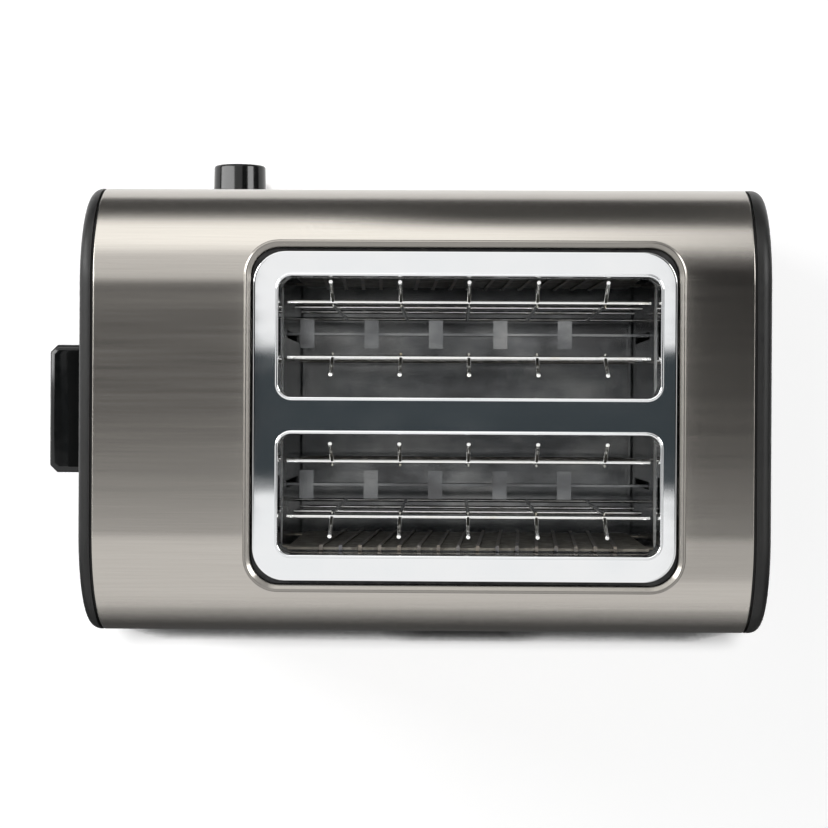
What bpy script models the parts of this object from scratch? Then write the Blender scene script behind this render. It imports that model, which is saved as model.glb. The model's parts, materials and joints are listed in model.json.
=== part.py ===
"""Two-slice toaster, built as the separate pieces it comes apart into.

Run with: blender --background --python part.py
Metres, +Z up. The front, with the browning knob, faces -Y and the lever stands out at +X.
"""

import math

import bmesh
import bpy
from mathutils import Vector

# Body
BODY_LENGTH = 0.272
BODY_DEPTH = 0.180
BODY_HEIGHT = 0.190
SKIRT_Z = 0.008
SHOULDER_R = 0.041
HEEL_R = 0.004
SHEET = 0.001
FLANGE = 0.007
GAP = 0.0003
OVERRUN = 0.002

# End caps
LEVER_CAP_BAND = 0.0058
PLAIN_CAP_BAND = 0.0071
CAP_EDGE_R = 0.0045
CAP_WALL = 0.0025
CAP_TONGUE = 0.006
TONGUE_WALL = 0.0015
BOSS_SIZE = 0.009
BOSS_HEIGHT = 0.014

# Chrome slot plate and the raised collar that frames it
COLLAR_SETBACK = 0.02125
COLLAR_WALL = 0.0027
COLLAR_RISE = 0.0008
COLLAR_SEAT = 0.0011
COLLAR_R = 0.0140
LEDGE = 0.0022
PLATE_Y = 0.0022
PLATE_MARGIN_LEVER = 0.0087
PLATE_MARGIN_PLAIN = 0.0051
PLATE_MARGIN_Y = 0.00885
PLATE_BAR = 0.0118
PLATE_GAP_X = 0.0006
PLATE_GAP_Y = 0.0013
PLATE_SHEET = 0.0012
SLOT_R = 0.0065
LIP_WALL = 0.0018
LIP_RISE = 0.0012
SLOT_SKIRT = 0.011
SLOT_END_GAP = 0.001
NOTCH_WIDTH = 0.0144
NOTCH_HEIGHT = 0.005

# Base, feet and crumb tray
PAN_SHEET = 0.0015
PAN_WALL_HEIGHT = 0.008
RUNNER_HEIGHT = 0.0015
RUNNER_WIDTH = 0.006
RUNNER_EDGE = 0.012
FOOT_R = 0.009
FOOT_TAPER = 0.0015
FOOT_STUD_R = 0.003
FOOT_STUD_LENGTH = 0.0045
FOOT_INSET = 0.036
FOOT_SETBACK = 0.024
SCREW_SHANK_R = 0.0015
SCREW_HEAD_R = 0.003
SCREW_HEAD_HEIGHT = 0.0015
SCREW_LENGTH = 0.012
SCREW_SETBACK = 0.030
TRAY_SHEET = 0.001
TRAY_HEIGHT = 0.009
TRAY_SIDE_GAP = 0.0008
TRAY_PULL = 0.004
TRAY_PULL_THICKNESS = 0.0025
TRAY_PULL_WIDTH = 0.060
TRAY_DOOR_MARGIN = 0.001

# Toasting chamber
MECHANISM_BAY = 0.0707
PLAIN_BAY = 0.0344
CHAMBER_SETBACK = 0.024
CHAMBER_Y = -0.0003
BREAD_OFFSET = 0.001
END_PLATE_SHEET = 0.001
END_PLATE_GAP = 0.0025
CHAMBER_MARGIN = 0.003
REFLECTOR_SHEET = 0.0008
REFLECTOR_GAP = 0.003
CARD_SHEET = 0.001
CARD_STANDOFF = 0.007
CARD_SETDOWN = 0.011
CARD_LIFT = 0.004
CARD_NECK = 0.004
CARD_TAB = 0.010
RIBBON_WIDTH = 0.0014
RIBBON_THICKNESS = 0.0004
WINDING_LOOPS = 16
WINDING_END = 0.010

# Bread guards
WIRE_R = 0.0008
GUARD_KNEE_OFFSET = 0.0098
GUARD_HINGE_OFFSET = 0.0092
GUARD_RIM_GAP = 0.005
GUARD_HINGE_RISE = 0.0204
GUARD_KNEE_DROP = 0.025
GUARD_RIM_DROP = 0.006
GUARD_EDGE = 0.0222
GUARD_WIRES = 5
GUARD_END_GAP = 0.004
GUARD_LEVEL_SHARES = (0.33, 0.66)
HINGE_REACH = 0.003

# Carriage and bread racks
RACK_DROP = 0.014
RACK_STOP = 0.008
RACK_HEIGHT = 0.010
RACK_SHEET = 0.001
RACK_REACH = 0.003
SADDLE_WIDTH = 0.012
SADDLE_LENGTH = 0.006
RACK_SLOT_GAP = 0.0012
CARRIAGE_GAP = 0.006
CARRIAGE_SHEET = 0.0015
CARRIAGE_DROP = 0.014
CARRIAGE_HEIGHT = 0.030
CARRIAGE_WING = 0.006
ROD_R = 0.0025
ROD_SETBACK = 0.016
ROD_Y = 0.020
ROD_PROUD = 0.006
BUSH_SIZE = 0.010
BUSH_HEIGHT = 0.022
BRACKET_DROP = 0.022
BRACKET_SHEET = 0.002
BRACKET_MARGIN = 0.006
ARM_SHEET = 0.002
ARM_HEIGHT = 0.010
ARM_DROP = 0.050
ARM_SOCKET = 0.011
ARM_SLOT_GAP = 0.0015
LEVER_REACH = 0.0185
LEVER_STANDOFF = 0.0012
LEVER_WIDTH = 0.0525
LEVER_HEIGHT = 0.016
LEVER_EDGE = 0.0022
SPRING_R = 0.0032
SPRING_WIRE_R = 0.0005
SPRING_CURLS = 11
SPRING_POINTS = 9
SPRING_Y = 0.0095
SPRING_LUG = 0.009
SPRING_LUG_SHEET = 0.0015

# Holding magnet
MAGNET_SIZE = 0.014
MAGNET_OFFSET = 0.0177
MAGNET_POLE = 0.008
MAGNET_AIR = 0.0005
MAGNET_FLANGE = 0.002
COIL_WALL = 0.003
COIL_HEIGHT = 0.014
ARMATURE_SHEET = 0.002

# Controls on the front
CONTROL_INSET = 0.0452
BOARD_SETBACK = 0.0152
BOARD_SHEET = 0.0016
BOARD_LENGTH = 0.052
BOARD_RISE = 0.001
KNOB_DROP = 0.034
KNOB_R = 0.0118
KNOB_DRAFT = 0.0003
KNOB_LENGTH = 0.0185
KNOB_STANDOFF = 0.0008
KNOB_EDGE = 0.0012
POT_R = 0.0085
POT_LENGTH = 0.007
SHAFT_R = 0.003
SHAFT_SEAT = 0.005
SHAFT_GRIP = 0.010
BUTTON_R = 0.007
BUTTON_PROUD = 0.001
BUTTON_GAP = 0.0004
BUTTON_TRAVEL = 0.0012
BUTTON_FLANGE = 0.0015
BUTTON_FLANGE_R = 0.0088
BUTTON_STEM_R = 0.002
BUTTON_DROP = 0.013
BUTTON_PITCH = 0.021
SWITCH_SIZE = 0.007
SWITCH_HEIGHT = 0.0035
BUTTONS = ("cancel_button", "defrost_button", "reheat_button")
SWITCHES = ("cancel_switch", "defrost_switch", "reheat_switch")
RELAY_LENGTH = 0.019
RELAY_DEPTH = 0.015
RELAY_HEIGHT = 0.016
RELAY_DROP = 0.012

# Mains inlet
INLET_INSET = 0.0169
INLET_Z = 0.030
GLAND_R = 0.0065
GLAND_BORE_R = 0.0037
GLAND_LIP_R = 0.009
GLAND_LIP = 0.003
GLAND_TAIL = 0.010
TERMINAL_LENGTH = 0.020
TERMINAL_DEPTH = 0.030
TERMINAL_HEIGHT = 0.014
TERMINAL_SETBACK = 0.050
TERMINAL_HOLE_R = 0.002
TERMINAL_WAYS = 3

# Smoothness
ARC_STEPS = 8
CORNER_STEPS = 4
ROUND_SIDES = 24
SMALL_SIDES = 12
WIRE_SIDES = 6
SHARP_DEG = 35

# Places worked out from the sizes above
HALF_LENGTH = BODY_LENGTH / 2
HALF_DEPTH = BODY_DEPTH / 2
LEVER_SEAM_X = HALF_LENGTH - LEVER_CAP_BAND
PLAIN_SEAM_X = -HALF_LENGTH + PLAIN_CAP_BAND
OVERALL_MAX_X = HALF_LENGTH + LEVER_REACH
OVERALL_MIN_Y = -HALF_DEPTH - KNOB_STANDOFF - KNOB_LENGTH
OVERALL_MAX_Y = HALF_DEPTH + TRAY_PULL
FLAT_Y = HALF_DEPTH - SHOULDER_R
FLAT_Z = BODY_HEIGHT - SHOULDER_R

PAN_Z = SKIRT_Z + SHEET + GAP
PAN_TOP = PAN_Z + PAN_SHEET
TRAY_Z = PAN_TOP + RUNNER_HEIGHT + GAP
TRAY_TOP = TRAY_Z + TRAY_HEIGHT

CHAMBER_MAX_X = LEVER_SEAM_X - MECHANISM_BAY
CHAMBER_MIN_X = PLAIN_SEAM_X + PLAIN_BAY
CHAMBER_LENGTH = CHAMBER_MAX_X - CHAMBER_MIN_X
CHAMBER_HALF_DEPTH = HALF_DEPTH - CHAMBER_SETBACK
CHAMBER_MIN_Y = CHAMBER_Y - CHAMBER_HALF_DEPTH
CHAMBER_MAX_Y = CHAMBER_Y + CHAMBER_HALF_DEPTH
BREAD_Y = CHAMBER_HALF_DEPTH / 2 - BREAD_OFFSET
BREAD_YS = (CHAMBER_Y - BREAD_Y, CHAMBER_Y + BREAD_Y)
REFLECTOR_OFFSET = CHAMBER_HALF_DEPTH - BREAD_Y - CHAMBER_MARGIN
CARD_OFFSET = REFLECTOR_OFFSET - CARD_STANDOFF

SLOT_X = (CHAMBER_MAX_X + CHAMBER_MIN_X) / 2
SLOT_LENGTH = CHAMBER_LENGTH - 2 * SLOT_END_GAP
PLATE_LENGTH = SLOT_LENGTH + PLATE_MARGIN_LEVER + PLATE_MARGIN_PLAIN
PLATE_X = SLOT_X + (PLATE_MARGIN_LEVER - PLATE_MARGIN_PLAIN) / 2
PLATE_Z = BODY_HEIGHT - PLATE_SHEET
COLLAR_LENGTH = PLATE_LENGTH + 2 * (COLLAR_WALL + PLATE_GAP_X)
COLLAR_DEPTH = BODY_DEPTH - 2 * COLLAR_SETBACK
PLATE_DEPTH = COLLAR_DEPTH - 2 * (COLLAR_WALL + PLATE_GAP_Y)
SLOT_WIDTH = (PLATE_DEPTH - 2 * PLATE_MARGIN_Y - PLATE_BAR) / 2
SLOT_PITCH = SLOT_WIDTH + PLATE_BAR
SLOT_YS = (PLATE_Y - SLOT_PITCH / 2, PLATE_Y + SLOT_PITCH / 2)
COLLAR_REACH = abs(PLATE_Y) + COLLAR_DEPTH / 2 - FLAT_Y
COLLAR_DROP = SHOULDER_R - math.sqrt(SHOULDER_R**2 - COLLAR_REACH**2) + COLLAR_SEAT
END_PLATE_TOP = BODY_HEIGHT - COLLAR_DROP - END_PLATE_GAP
REFLECTOR_TOP = BODY_HEIGHT - SLOT_SKIRT - REFLECTOR_GAP
CARD_TOP = REFLECTOR_TOP - CARD_SETDOWN

GUARD_HINGE_Z = TRAY_TOP + GUARD_HINGE_RISE
GUARD_KNEE_Z = BODY_HEIGHT - GUARD_KNEE_DROP
GUARD_RIM_Z = BODY_HEIGHT - GUARD_RIM_DROP
GUARD_RIM_OFFSET = SLOT_WIDTH / 2 - LIP_WALL - GUARD_RIM_GAP
GUARD_PITCH = (CHAMBER_LENGTH - 2 * GUARD_EDGE) / (GUARD_WIRES - 1)
CARD_BOTTOM = GUARD_HINGE_Z + CARD_LIFT

MECHANISM_X = CHAMBER_MAX_X + END_PLATE_SHEET
CARRIAGE_X = MECHANISM_X + CARRIAGE_GAP
ROD_X = MECHANISM_X + ROD_SETBACK
BRACKET_Z = BODY_HEIGHT - BRACKET_DROP
ROD_TOP = BRACKET_Z + ROD_PROUD
ARM_Z = BODY_HEIGHT - ARM_DROP
CARRIAGE_TOP = ARM_Z - CARRIAGE_DROP
CARRIAGE_LOW = CARRIAGE_TOP - CARRIAGE_HEIGHT
RACK_TOP = CARRIAGE_TOP - RACK_DROP
TRAVEL = RACK_TOP - GUARD_HINGE_Z - RACK_STOP
MAGNET_Y = BREAD_YS[0] - MAGNET_OFFSET
ARMATURE_Z = CARRIAGE_LOW - GAP - ARMATURE_SHEET
POLE_Z = ARMATURE_Z - TRAVEL - MAGNET_AIR

CONTROL_X = LEVER_SEAM_X - CONTROL_INSET
BOARD_Y = -HALF_DEPTH + BOARD_SETBACK
BOARD_TOP = FLAT_Z + BOARD_RISE
BUTTON_TOP_Z = FLAT_Z - BUTTON_DROP
BUTTON_FIRST_Z = BUTTON_TOP_Z - BUTTON_PITCH * (len(BUTTONS) - 1)
KNOB_Z = BUTTON_FIRST_Z - KNOB_DROP
RELAY_Z = BOARD_TOP - RELAY_DROP - RELAY_HEIGHT
INLET_X = PLAIN_SEAM_X + INLET_INSET
TERMINAL_Y = HALF_DEPTH - TERMINAL_SETBACK
SCREW_Y = HALF_DEPTH - SCREW_SETBACK


def clear_scene():
    for thing in list(bpy.data.objects):
        bpy.data.objects.remove(thing, do_unlink=True)


def material(name, colour, roughness, metallic):
    made = bpy.data.materials.new(name)
    made.use_nodes = True
    shader = made.node_tree.nodes["Principled BSDF"]
    shader.inputs["Base Color"].default_value = (*colour, 1)
    shader.inputs["Roughness"].default_value = roughness
    shader.inputs["Metallic"].default_value = metallic
    made.diffuse_color = (*colour, 1)
    return made


def rounded(centre, size, radius, steps=CORNER_STEPS):
    """The outline of a rectangle with round corners, anticlockwise."""
    half = (size[0] / 2 - radius, size[1] / 2 - radius)
    points = []
    for quarter, (u, v) in enumerate(((1, 1), (-1, 1), (-1, -1), (1, -1))):
        for step in range(steps + 1):
            turn = math.pi / 2 * (quarter + step / steps)
            points.append(
                (
                    centre[0] + u * half[0] + radius * math.cos(turn),
                    centre[1] + v * half[1] + radius * math.sin(turn),
                )
            )
    return points


def body_section(inset):
    """The body's outline across X, as (y, z), drawn in by inset."""
    points = []
    radius = SHOULDER_R - inset
    for side, start in ((FLAT_Y, 0), (-FLAT_Y, math.pi / 2)):
        for step in range(ARC_STEPS + 1):
            turn = start + math.pi / 2 * step / ARC_STEPS
            points.append((side + radius * math.cos(turn), FLAT_Z + radius * math.sin(turn)))
    return points


def at(axis, along, u, v):
    """A point at u, v across the axis: (y, z) for X, (x, z) for Y and (x, y) for Z."""
    if axis == "X":
        return Vector((along, u, v))
    if axis == "Y":
        return Vector((u, along, v))
    return Vector((u, v, along))


def prism(outline, start, end, axis):
    """A closed outline pulled from start to end along the axis."""
    bm = bmesh.new()
    face = bm.faces.new([bm.verts.new(at(axis, start, u, v)) for u, v in outline])
    drawn = bmesh.ops.extrude_face_region(bm, geom=[face])
    moved = [item for item in drawn["geom"] if isinstance(item, bmesh.types.BMVert)]
    bmesh.ops.translate(bm, vec=at(axis, end - start, 0, 0), verts=moved)
    bmesh.ops.recalc_face_normals(bm, faces=bm.faces)
    return bm


def box(low, high):
    outline = ((low[0], low[1]), (high[0], low[1]), (high[0], high[1]), (low[0], high[1]))
    return prism(outline, low[2], high[2], "Z")


def rod(start, end, radius, sides=SMALL_SIDES):
    """A round bar between two points."""
    bm = bmesh.new()
    run = Vector(end) - Vector(start)
    turn = run.to_track_quat("Z", "Y").to_matrix().to_4x4()
    turn.translation = (Vector(start) + Vector(end)) / 2
    bmesh.ops.create_cone(
        bm, cap_ends=True, segments=sides, radius1=radius, radius2=radius, depth=run.length, matrix=turn
    )
    return bm


def loft(rings, ring_shaped=False):
    """A skin over rings of points, closed by its two end faces, or onto itself."""
    bm = bmesh.new()
    loops = [[bm.verts.new(point) for point in ring] for ring in rings]
    pairs = list(zip(loops, loops[1:]))
    if ring_shaped:
        pairs.append((loops[-1], loops[0]))
    else:
        bm.faces.new(loops[0])
        bm.faces.new(loops[-1])
    for near, far in pairs:
        for index in range(len(near)):
            after = (index + 1) % len(near)
            bm.faces.new((near[index], near[after], far[after], far[index]))
    bmesh.ops.recalc_face_normals(bm, faces=bm.faces)
    return bm


def turned(centre, axis, profile, sides=ROUND_SIDES, ring_shaped=False):
    """A turned piece: profile is a list of (radius, distance along the axis)."""
    rings = []
    for radius, along in profile:
        ring = []
        for side in range(sides):
            turn = 2 * math.pi * side / sides
            u = centre[0] + radius * math.cos(turn)
            v = centre[1] + radius * math.sin(turn)
            ring.append(at(axis, along, u, v))
        rings.append(ring)
    return loft(rings, ring_shaped)


def sweep(route, section, across):
    """A bar of this section along a route, mitred at each bend."""
    points = [Vector(point) for point in route]
    runs = [(after - before).normalized() for before, after in zip(points, points[1:])]
    rings = []
    for index, point in enumerate(points):
        back = runs[max(index - 1, 0)]
        ahead = runs[min(index, len(runs) - 1)]
        level = (back + ahead).normalized()
        side = (across - back * across.dot(back)).normalized()
        up = side.cross(back)
        ring = []
        for a, b in section:
            offset = side * a + up * b
            ring.append(point + offset - back * (offset.dot(level) / back.dot(level)))
        rings.append(ring)
    return loft(rings)


def round_section(radius, sides=WIRE_SIDES):
    turns = [2 * math.pi * side / sides for side in range(sides)]
    return [(radius * math.cos(turn), radius * math.sin(turn)) for turn in turns]


def gathered(shapes):
    """Several shapes that don't touch, as one mesh."""
    whole = bmesh.new()
    for shape in shapes:
        copy = bpy.data.meshes.new("gathered")
        shape.to_mesh(copy)
        shape.free()
        whole.from_mesh(copy)
        bpy.data.meshes.remove(copy)
    return whole


def make_object(name, shape, pivot):
    mesh = bpy.data.meshes.new(name)
    bmesh.ops.translate(shape, vec=-Vector(pivot), verts=shape.verts)
    shape.to_mesh(mesh)
    shape.free()
    made = bpy.data.objects.new(name, mesh)
    made.location = pivot
    made.parent = ROOT
    bpy.context.scene.collection.objects.link(made)
    return made


def piece(name, shape, look, cuts=(), adds=(), last_cuts=(), pivot=(0, 0, 0)):
    """One named sub-part. Cuts come first, then what is added, then the last cuts."""
    made = make_object(name, shape, pivot)
    made.data.materials.append(look)
    steps = [("DIFFERENCE", tool) for tool in cuts]
    steps += [("UNION", tool) for tool in adds]
    steps += [("DIFFERENCE", tool) for tool in last_cuts]
    for number, (kind, tool) in enumerate(steps):
        helper = make_object(f"{name}_tool_{number}", tool, (0, 0, 0))
        helper.hide_render = True
        helper.display_type = "WIRE"
        step = made.modifiers.new(f"{kind.lower()}_{number}", "BOOLEAN")
        step.operation = kind
        step.solver = "EXACT"
        step.object = helper
    made.data.shade_smooth()
    made.data.set_sharp_from_angle(angle=math.radians(SHARP_DEG))
    return made


def wrap_shell(look):
    """The steel sheet bent over front, top and back, with the pressed collar round the slot plate."""
    outer = [(HALF_DEPTH, SKIRT_Z), *body_section(0), (-HALF_DEPTH, SKIRT_Z)]
    toe = -HALF_DEPTH + FLANGE
    inside = -HALF_DEPTH + SHEET
    floor = SKIRT_Z + SHEET
    inner = [(toe, SKIRT_Z), (toe, floor), (inside, floor)]
    inner += [(y, z) for y, z in reversed(body_section(SHEET))]
    inner += [(-inside, floor), (-toe, floor), (-toe, SKIRT_Z)]
    shell = prism(outer + inner, PLAIN_SEAM_X, LEVER_SEAM_X, "X")
    centre = (PLATE_X, PLATE_Y)
    top = BODY_HEIGHT + COLLAR_RISE
    collar = prism(
        rounded(centre, (COLLAR_LENGTH, COLLAR_DEPTH), COLLAR_R), BODY_HEIGHT - COLLAR_DROP, top, "Z"
    )
    pocket_size = (COLLAR_LENGTH - 2 * COLLAR_WALL, COLLAR_DEPTH - 2 * COLLAR_WALL)
    pocket = prism(
        rounded(centre, pocket_size, COLLAR_R - COLLAR_WALL), PLATE_Z - GAP, top + OVERRUN, "Z"
    )
    hole_size = (pocket_size[0] - 2 * LEDGE, pocket_size[1] - 2 * LEDGE)
    hole = prism(
        rounded(centre, hole_size, COLLAR_R - COLLAR_WALL - LEDGE),
        BODY_HEIGHT - COLLAR_DROP - OVERRUN,
        top + OVERRUN,
        "Z",
    )
    front = [rod_through_front(CONTROL_X, KNOB_Z, SHAFT_R + 2 * GAP, SMALL_SIDES)]
    for z in button_heights():
        front.append(rod_through_front(CONTROL_X, z, BUTTON_R + BUTTON_GAP, ROUND_SIDES))
    low, high = tray_span()
    margin = TRAY_DOOR_MARGIN
    back = [
        box(
            (low - margin, HALF_DEPTH - SHEET - OVERRUN, TRAY_Z - margin),
            (high + margin, HALF_DEPTH + OVERRUN, TRAY_TOP + margin),
        ),
        rod(
            (INLET_X, HALF_DEPTH - SHEET - OVERRUN, INLET_Z),
            (INLET_X, HALF_DEPTH + OVERRUN, INLET_Z),
            GLAND_R + GAP,
            ROUND_SIDES,
        ),
    ]
    openings = gathered(front + back)
    return piece("wrap_shell", shell, look, adds=[collar], last_cuts=[hole, pocket, openings])


def rod_through_front(x, z, radius, sides):
    """A cutter through the front wall of the wrap."""
    return rod(
        (x, -HALF_DEPTH - OVERRUN, z), (x, -HALF_DEPTH + SHEET + OVERRUN, z), radius, sides
    )


def button_heights():
    return [BUTTON_FIRST_Z + index * BUTTON_PITCH for index in range(len(BUTTONS))]


def cap_section(inset):
    """The end cap's outline, closed by its low edge, as (y, z)."""
    low = SKIRT_Z + inset
    radius = max(HEEL_R - inset, HEEL_R / 4)
    side = HALF_DEPTH - inset
    points = body_section(inset)
    for corner in (-1, 1):
        for step in range(CORNER_STEPS + 1):
            turn = math.pi / 2 * step / CORNER_STEPS
            if corner > 0:
                turn = math.pi / 2 - turn
            points.append(
                (
                    corner * (side - radius * (1 - math.cos(turn))),
                    low + radius * (1 - math.sin(turn)),
                )
            )
    return points


def end_cap(name, side, band, look, cuts):
    """A hollow plastic cap: a tongue inside the wrap, a flat band, a round edge and an end face."""
    tongue_out = SHEET + GAP
    tongue_in = tongue_out + TONGUE_WALL
    seam = HALF_LENGTH - band + GAP
    tongue_end = HALF_LENGTH - band - CAP_TONGUE
    stations = [
        (HALF_LENGTH - CAP_WALL, tongue_in + HEEL_R / 4),
        (tongue_end, tongue_in + HEEL_R / 4),
        (tongue_end, tongue_out),
        (seam, tongue_out),
        (seam, 0),
    ]
    for step in range(CORNER_STEPS + 1):
        turn = math.pi / 2 * step / CORNER_STEPS
        stations.append(
            (
                HALF_LENGTH - CAP_EDGE_R * (1 - math.sin(turn)),
                CAP_EDGE_R * (1 - math.cos(turn)),
            )
        )
    rings = []
    for x, inset in stations:
        rings.append([at("X", side * x, y, z) for y, z in cap_section(inset)])
    shell = loft(rings)
    foot_gap = PAN_TOP + GAP
    bosses = []
    holes = []
    for y in (-SCREW_Y, SCREW_Y):
        inner = tongue_end - BOSS_SIZE
        ends = sorted((side * inner, side * (HALF_LENGTH - CAP_WALL / 2)))
        bosses.append(
            box(
                (ends[0], y - BOSS_SIZE / 2, foot_gap),
                (ends[1], y + BOSS_SIZE / 2, foot_gap + BOSS_HEIGHT),
            )
        )
        x = side * (inner + BOSS_SIZE / 2)
        top = PAN_Z - GAP + SCREW_LENGTH + GAP
        holes.append(rod((x, y, foot_gap - OVERRUN), (x, y, top), SCREW_SHANK_R + GAP))
    return piece(name, shell, look, adds=[gathered(bosses)], last_cuts=[gathered(holes), *cuts])


def lever_window():
    """The slot in the lever-side cap that the arm travels in."""
    half = ARM_SHEET / 2 + ARM_SLOT_GAP
    low = ARM_Z - ARM_HEIGHT / 2 - TRAVEL - ARM_SLOT_GAP
    high = ARM_Z + ARM_HEIGHT / 2 + ARM_SLOT_GAP
    return box(
        (HALF_LENGTH - CAP_WALL - OVERRUN, -half, low), (HALF_LENGTH + OVERRUN, half, high)
    )


def slot_plate(look):
    """The chrome top plate: a sheet with two slots, each with a rolled lip and a skirt."""
    centre = (PLATE_X, PLATE_Y)
    plate = prism(
        rounded(centre, (PLATE_LENGTH, PLATE_DEPTH), COLLAR_R - COLLAR_WALL - PLATE_GAP_X),
        PLATE_Z,
        BODY_HEIGHT,
        "Z",
    )
    holes = []
    skirts = []
    notches = []
    lip_top = BODY_HEIGHT + LIP_RISE
    low = BODY_HEIGHT - SLOT_SKIRT
    for y in SLOT_YS:
        half_wall = LIP_WALL / 2
        holes.append(
            prism(slot_outline(y, half_wall), PLATE_Z - OVERRUN, BODY_HEIGHT + OVERRUN, "Z")
        )
        stations = [(low, 0), (lip_top - half_wall, 0)]
        for step in range(1, CORNER_STEPS):
            turn = math.pi * step / CORNER_STEPS
            stations.append(
                (lip_top - half_wall + half_wall * math.sin(turn), half_wall * (1 - math.cos(turn)))
            )
        stations += [(lip_top - half_wall, LIP_WALL), (low, LIP_WALL)]
        rings = []
        for z, inset in stations:
            rings.append([at("Z", z, u, v) for u, v in slot_outline(y, inset)])
        skirts.append(loft(rings, ring_shaped=True))
        for side in (-1, 1):
            x = SLOT_X + side * (SLOT_LENGTH - LIP_WALL) / 2
            notches.append(
                box(
                    (x - LIP_WALL, y - NOTCH_WIDTH / 2, low + OVERRUN),
                    (x + LIP_WALL, y + NOTCH_WIDTH / 2, low + OVERRUN + NOTCH_HEIGHT),
                )
            )
    return piece(
        "slot_plate",
        plate,
        look,
        cuts=[gathered(holes)],
        adds=[gathered(skirts)],
        last_cuts=[gathered(notches)],
    )


def slot_outline(y, inset):
    size = (SLOT_LENGTH - 2 * inset, SLOT_WIDTH - 2 * inset)
    return rounded((SLOT_X, y), size, SLOT_R - inset)


def tray_span():
    """The crumb tray's two sides along X."""
    return CHAMBER_MIN_X + TRAY_SIDE_GAP, CHAMBER_MAX_X - TRAY_SIDE_GAP


def base_pan(look):
    """The floor of the body, with a low wall front and back and two runners for the tray."""
    min_x = PLAIN_SEAM_X + CAP_TONGUE + GAP
    max_x = LEVER_SEAM_X - CAP_TONGUE - GAP
    half_y = HALF_DEPTH - SHEET - GAP
    floor = box((min_x, -half_y, PAN_Z), (max_x, half_y, PAN_TOP))
    low, high = tray_span()
    wall_top = PAN_TOP + PAN_WALL_HEIGHT
    wall_low = PAN_TOP - PAN_SHEET / 2
    walls = [
        box((min_x, -half_y, wall_low), (max_x, -half_y + PAN_SHEET, wall_top)),
        box((min_x, half_y - PAN_SHEET, wall_low), (low - TRAY_DOOR_MARGIN, half_y, wall_top)),
        box((high + TRAY_DOOR_MARGIN, half_y - PAN_SHEET, wall_low), (max_x, half_y, wall_top)),
    ]
    for x in (low + RUNNER_EDGE, high - RUNNER_EDGE):
        walls.append(
            box(
                (x - RUNNER_WIDTH / 2, CHAMBER_MIN_Y, wall_low),
                (x + RUNNER_WIDTH / 2, half_y - PAN_SHEET, PAN_TOP + RUNNER_HEIGHT),
            )
        )
    holes = []
    for x, y in foot_places():
        holes.append(drill(x, y, FOOT_STUD_R))
    for x, y in screw_places():
        holes.append(drill(x, y, SCREW_SHANK_R))
    return piece("base_pan", floor, look, adds=[gathered(walls)], last_cuts=[gathered(holes)])


def drill(x, y, radius):
    return rod((x, y, PAN_Z - OVERRUN), (x, y, PAN_TOP + OVERRUN), radius + GAP)


def foot_places():
    x = HALF_LENGTH - FOOT_INSET
    y = HALF_DEPTH - FOOT_SETBACK
    return [(side * x, way * y) for side in (-1, 1) for way in (-1, 1)]


def screw_places():
    inset = CAP_TONGUE + BOSS_SIZE / 2
    return [(x, y) for x in (PLAIN_SEAM_X + inset, LEVER_SEAM_X - inset) for y in (-SCREW_Y, SCREW_Y)]


def foot(name, place, look):
    top = PAN_Z - GAP
    shape = turned(
        place,
        "Z",
        [
            (FOOT_R - FOOT_TAPER, 0),
            (FOOT_R, FOOT_TAPER),
            (FOOT_R, top),
            (FOOT_STUD_R, top),
            (FOOT_STUD_R, top + FOOT_STUD_LENGTH),
        ],
        SMALL_SIDES,
    )
    return piece(name, shape, look)


def base_screw(name, place, look):
    top = PAN_Z - GAP
    shape = turned(
        place,
        "Z",
        [
            (SCREW_HEAD_R - SCREW_HEAD_HEIGHT / 2, top - SCREW_HEAD_HEIGHT),
            (SCREW_HEAD_R, top - SCREW_HEAD_HEIGHT / 2),
            (SCREW_HEAD_R, top),
            (SCREW_SHANK_R, top),
            (SCREW_SHANK_R, top + SCREW_LENGTH - GAP),
        ],
        SMALL_SIDES,
    )
    return piece(name, shape, look)


def crumb_tray(look):
    """A shallow tray on the pan's runners, with a door in the back wall and a pull below it."""
    low, high = tray_span()
    front = CHAMBER_MIN_Y + CHAMBER_MARGIN
    block = box((low, front, TRAY_Z), (high, HALF_DEPTH, TRAY_TOP))
    hollow = box(
        (low + TRAY_SHEET, front + TRAY_SHEET, TRAY_Z + TRAY_SHEET),
        (high - TRAY_SHEET, HALF_DEPTH - TRAY_SHEET, TRAY_TOP + OVERRUN),
    )
    pull_low = TRAY_Z + TRAY_SHEET
    pull = box(
        (SLOT_X - TRAY_PULL_WIDTH / 2, HALF_DEPTH - TRAY_SHEET / 2, pull_low),
        (SLOT_X + TRAY_PULL_WIDTH / 2, OVERALL_MAX_Y, pull_low + TRAY_PULL_THICKNESS),
    )
    return piece("crumb_tray", block, look, cuts=[hollow], adds=[pull])


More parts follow.
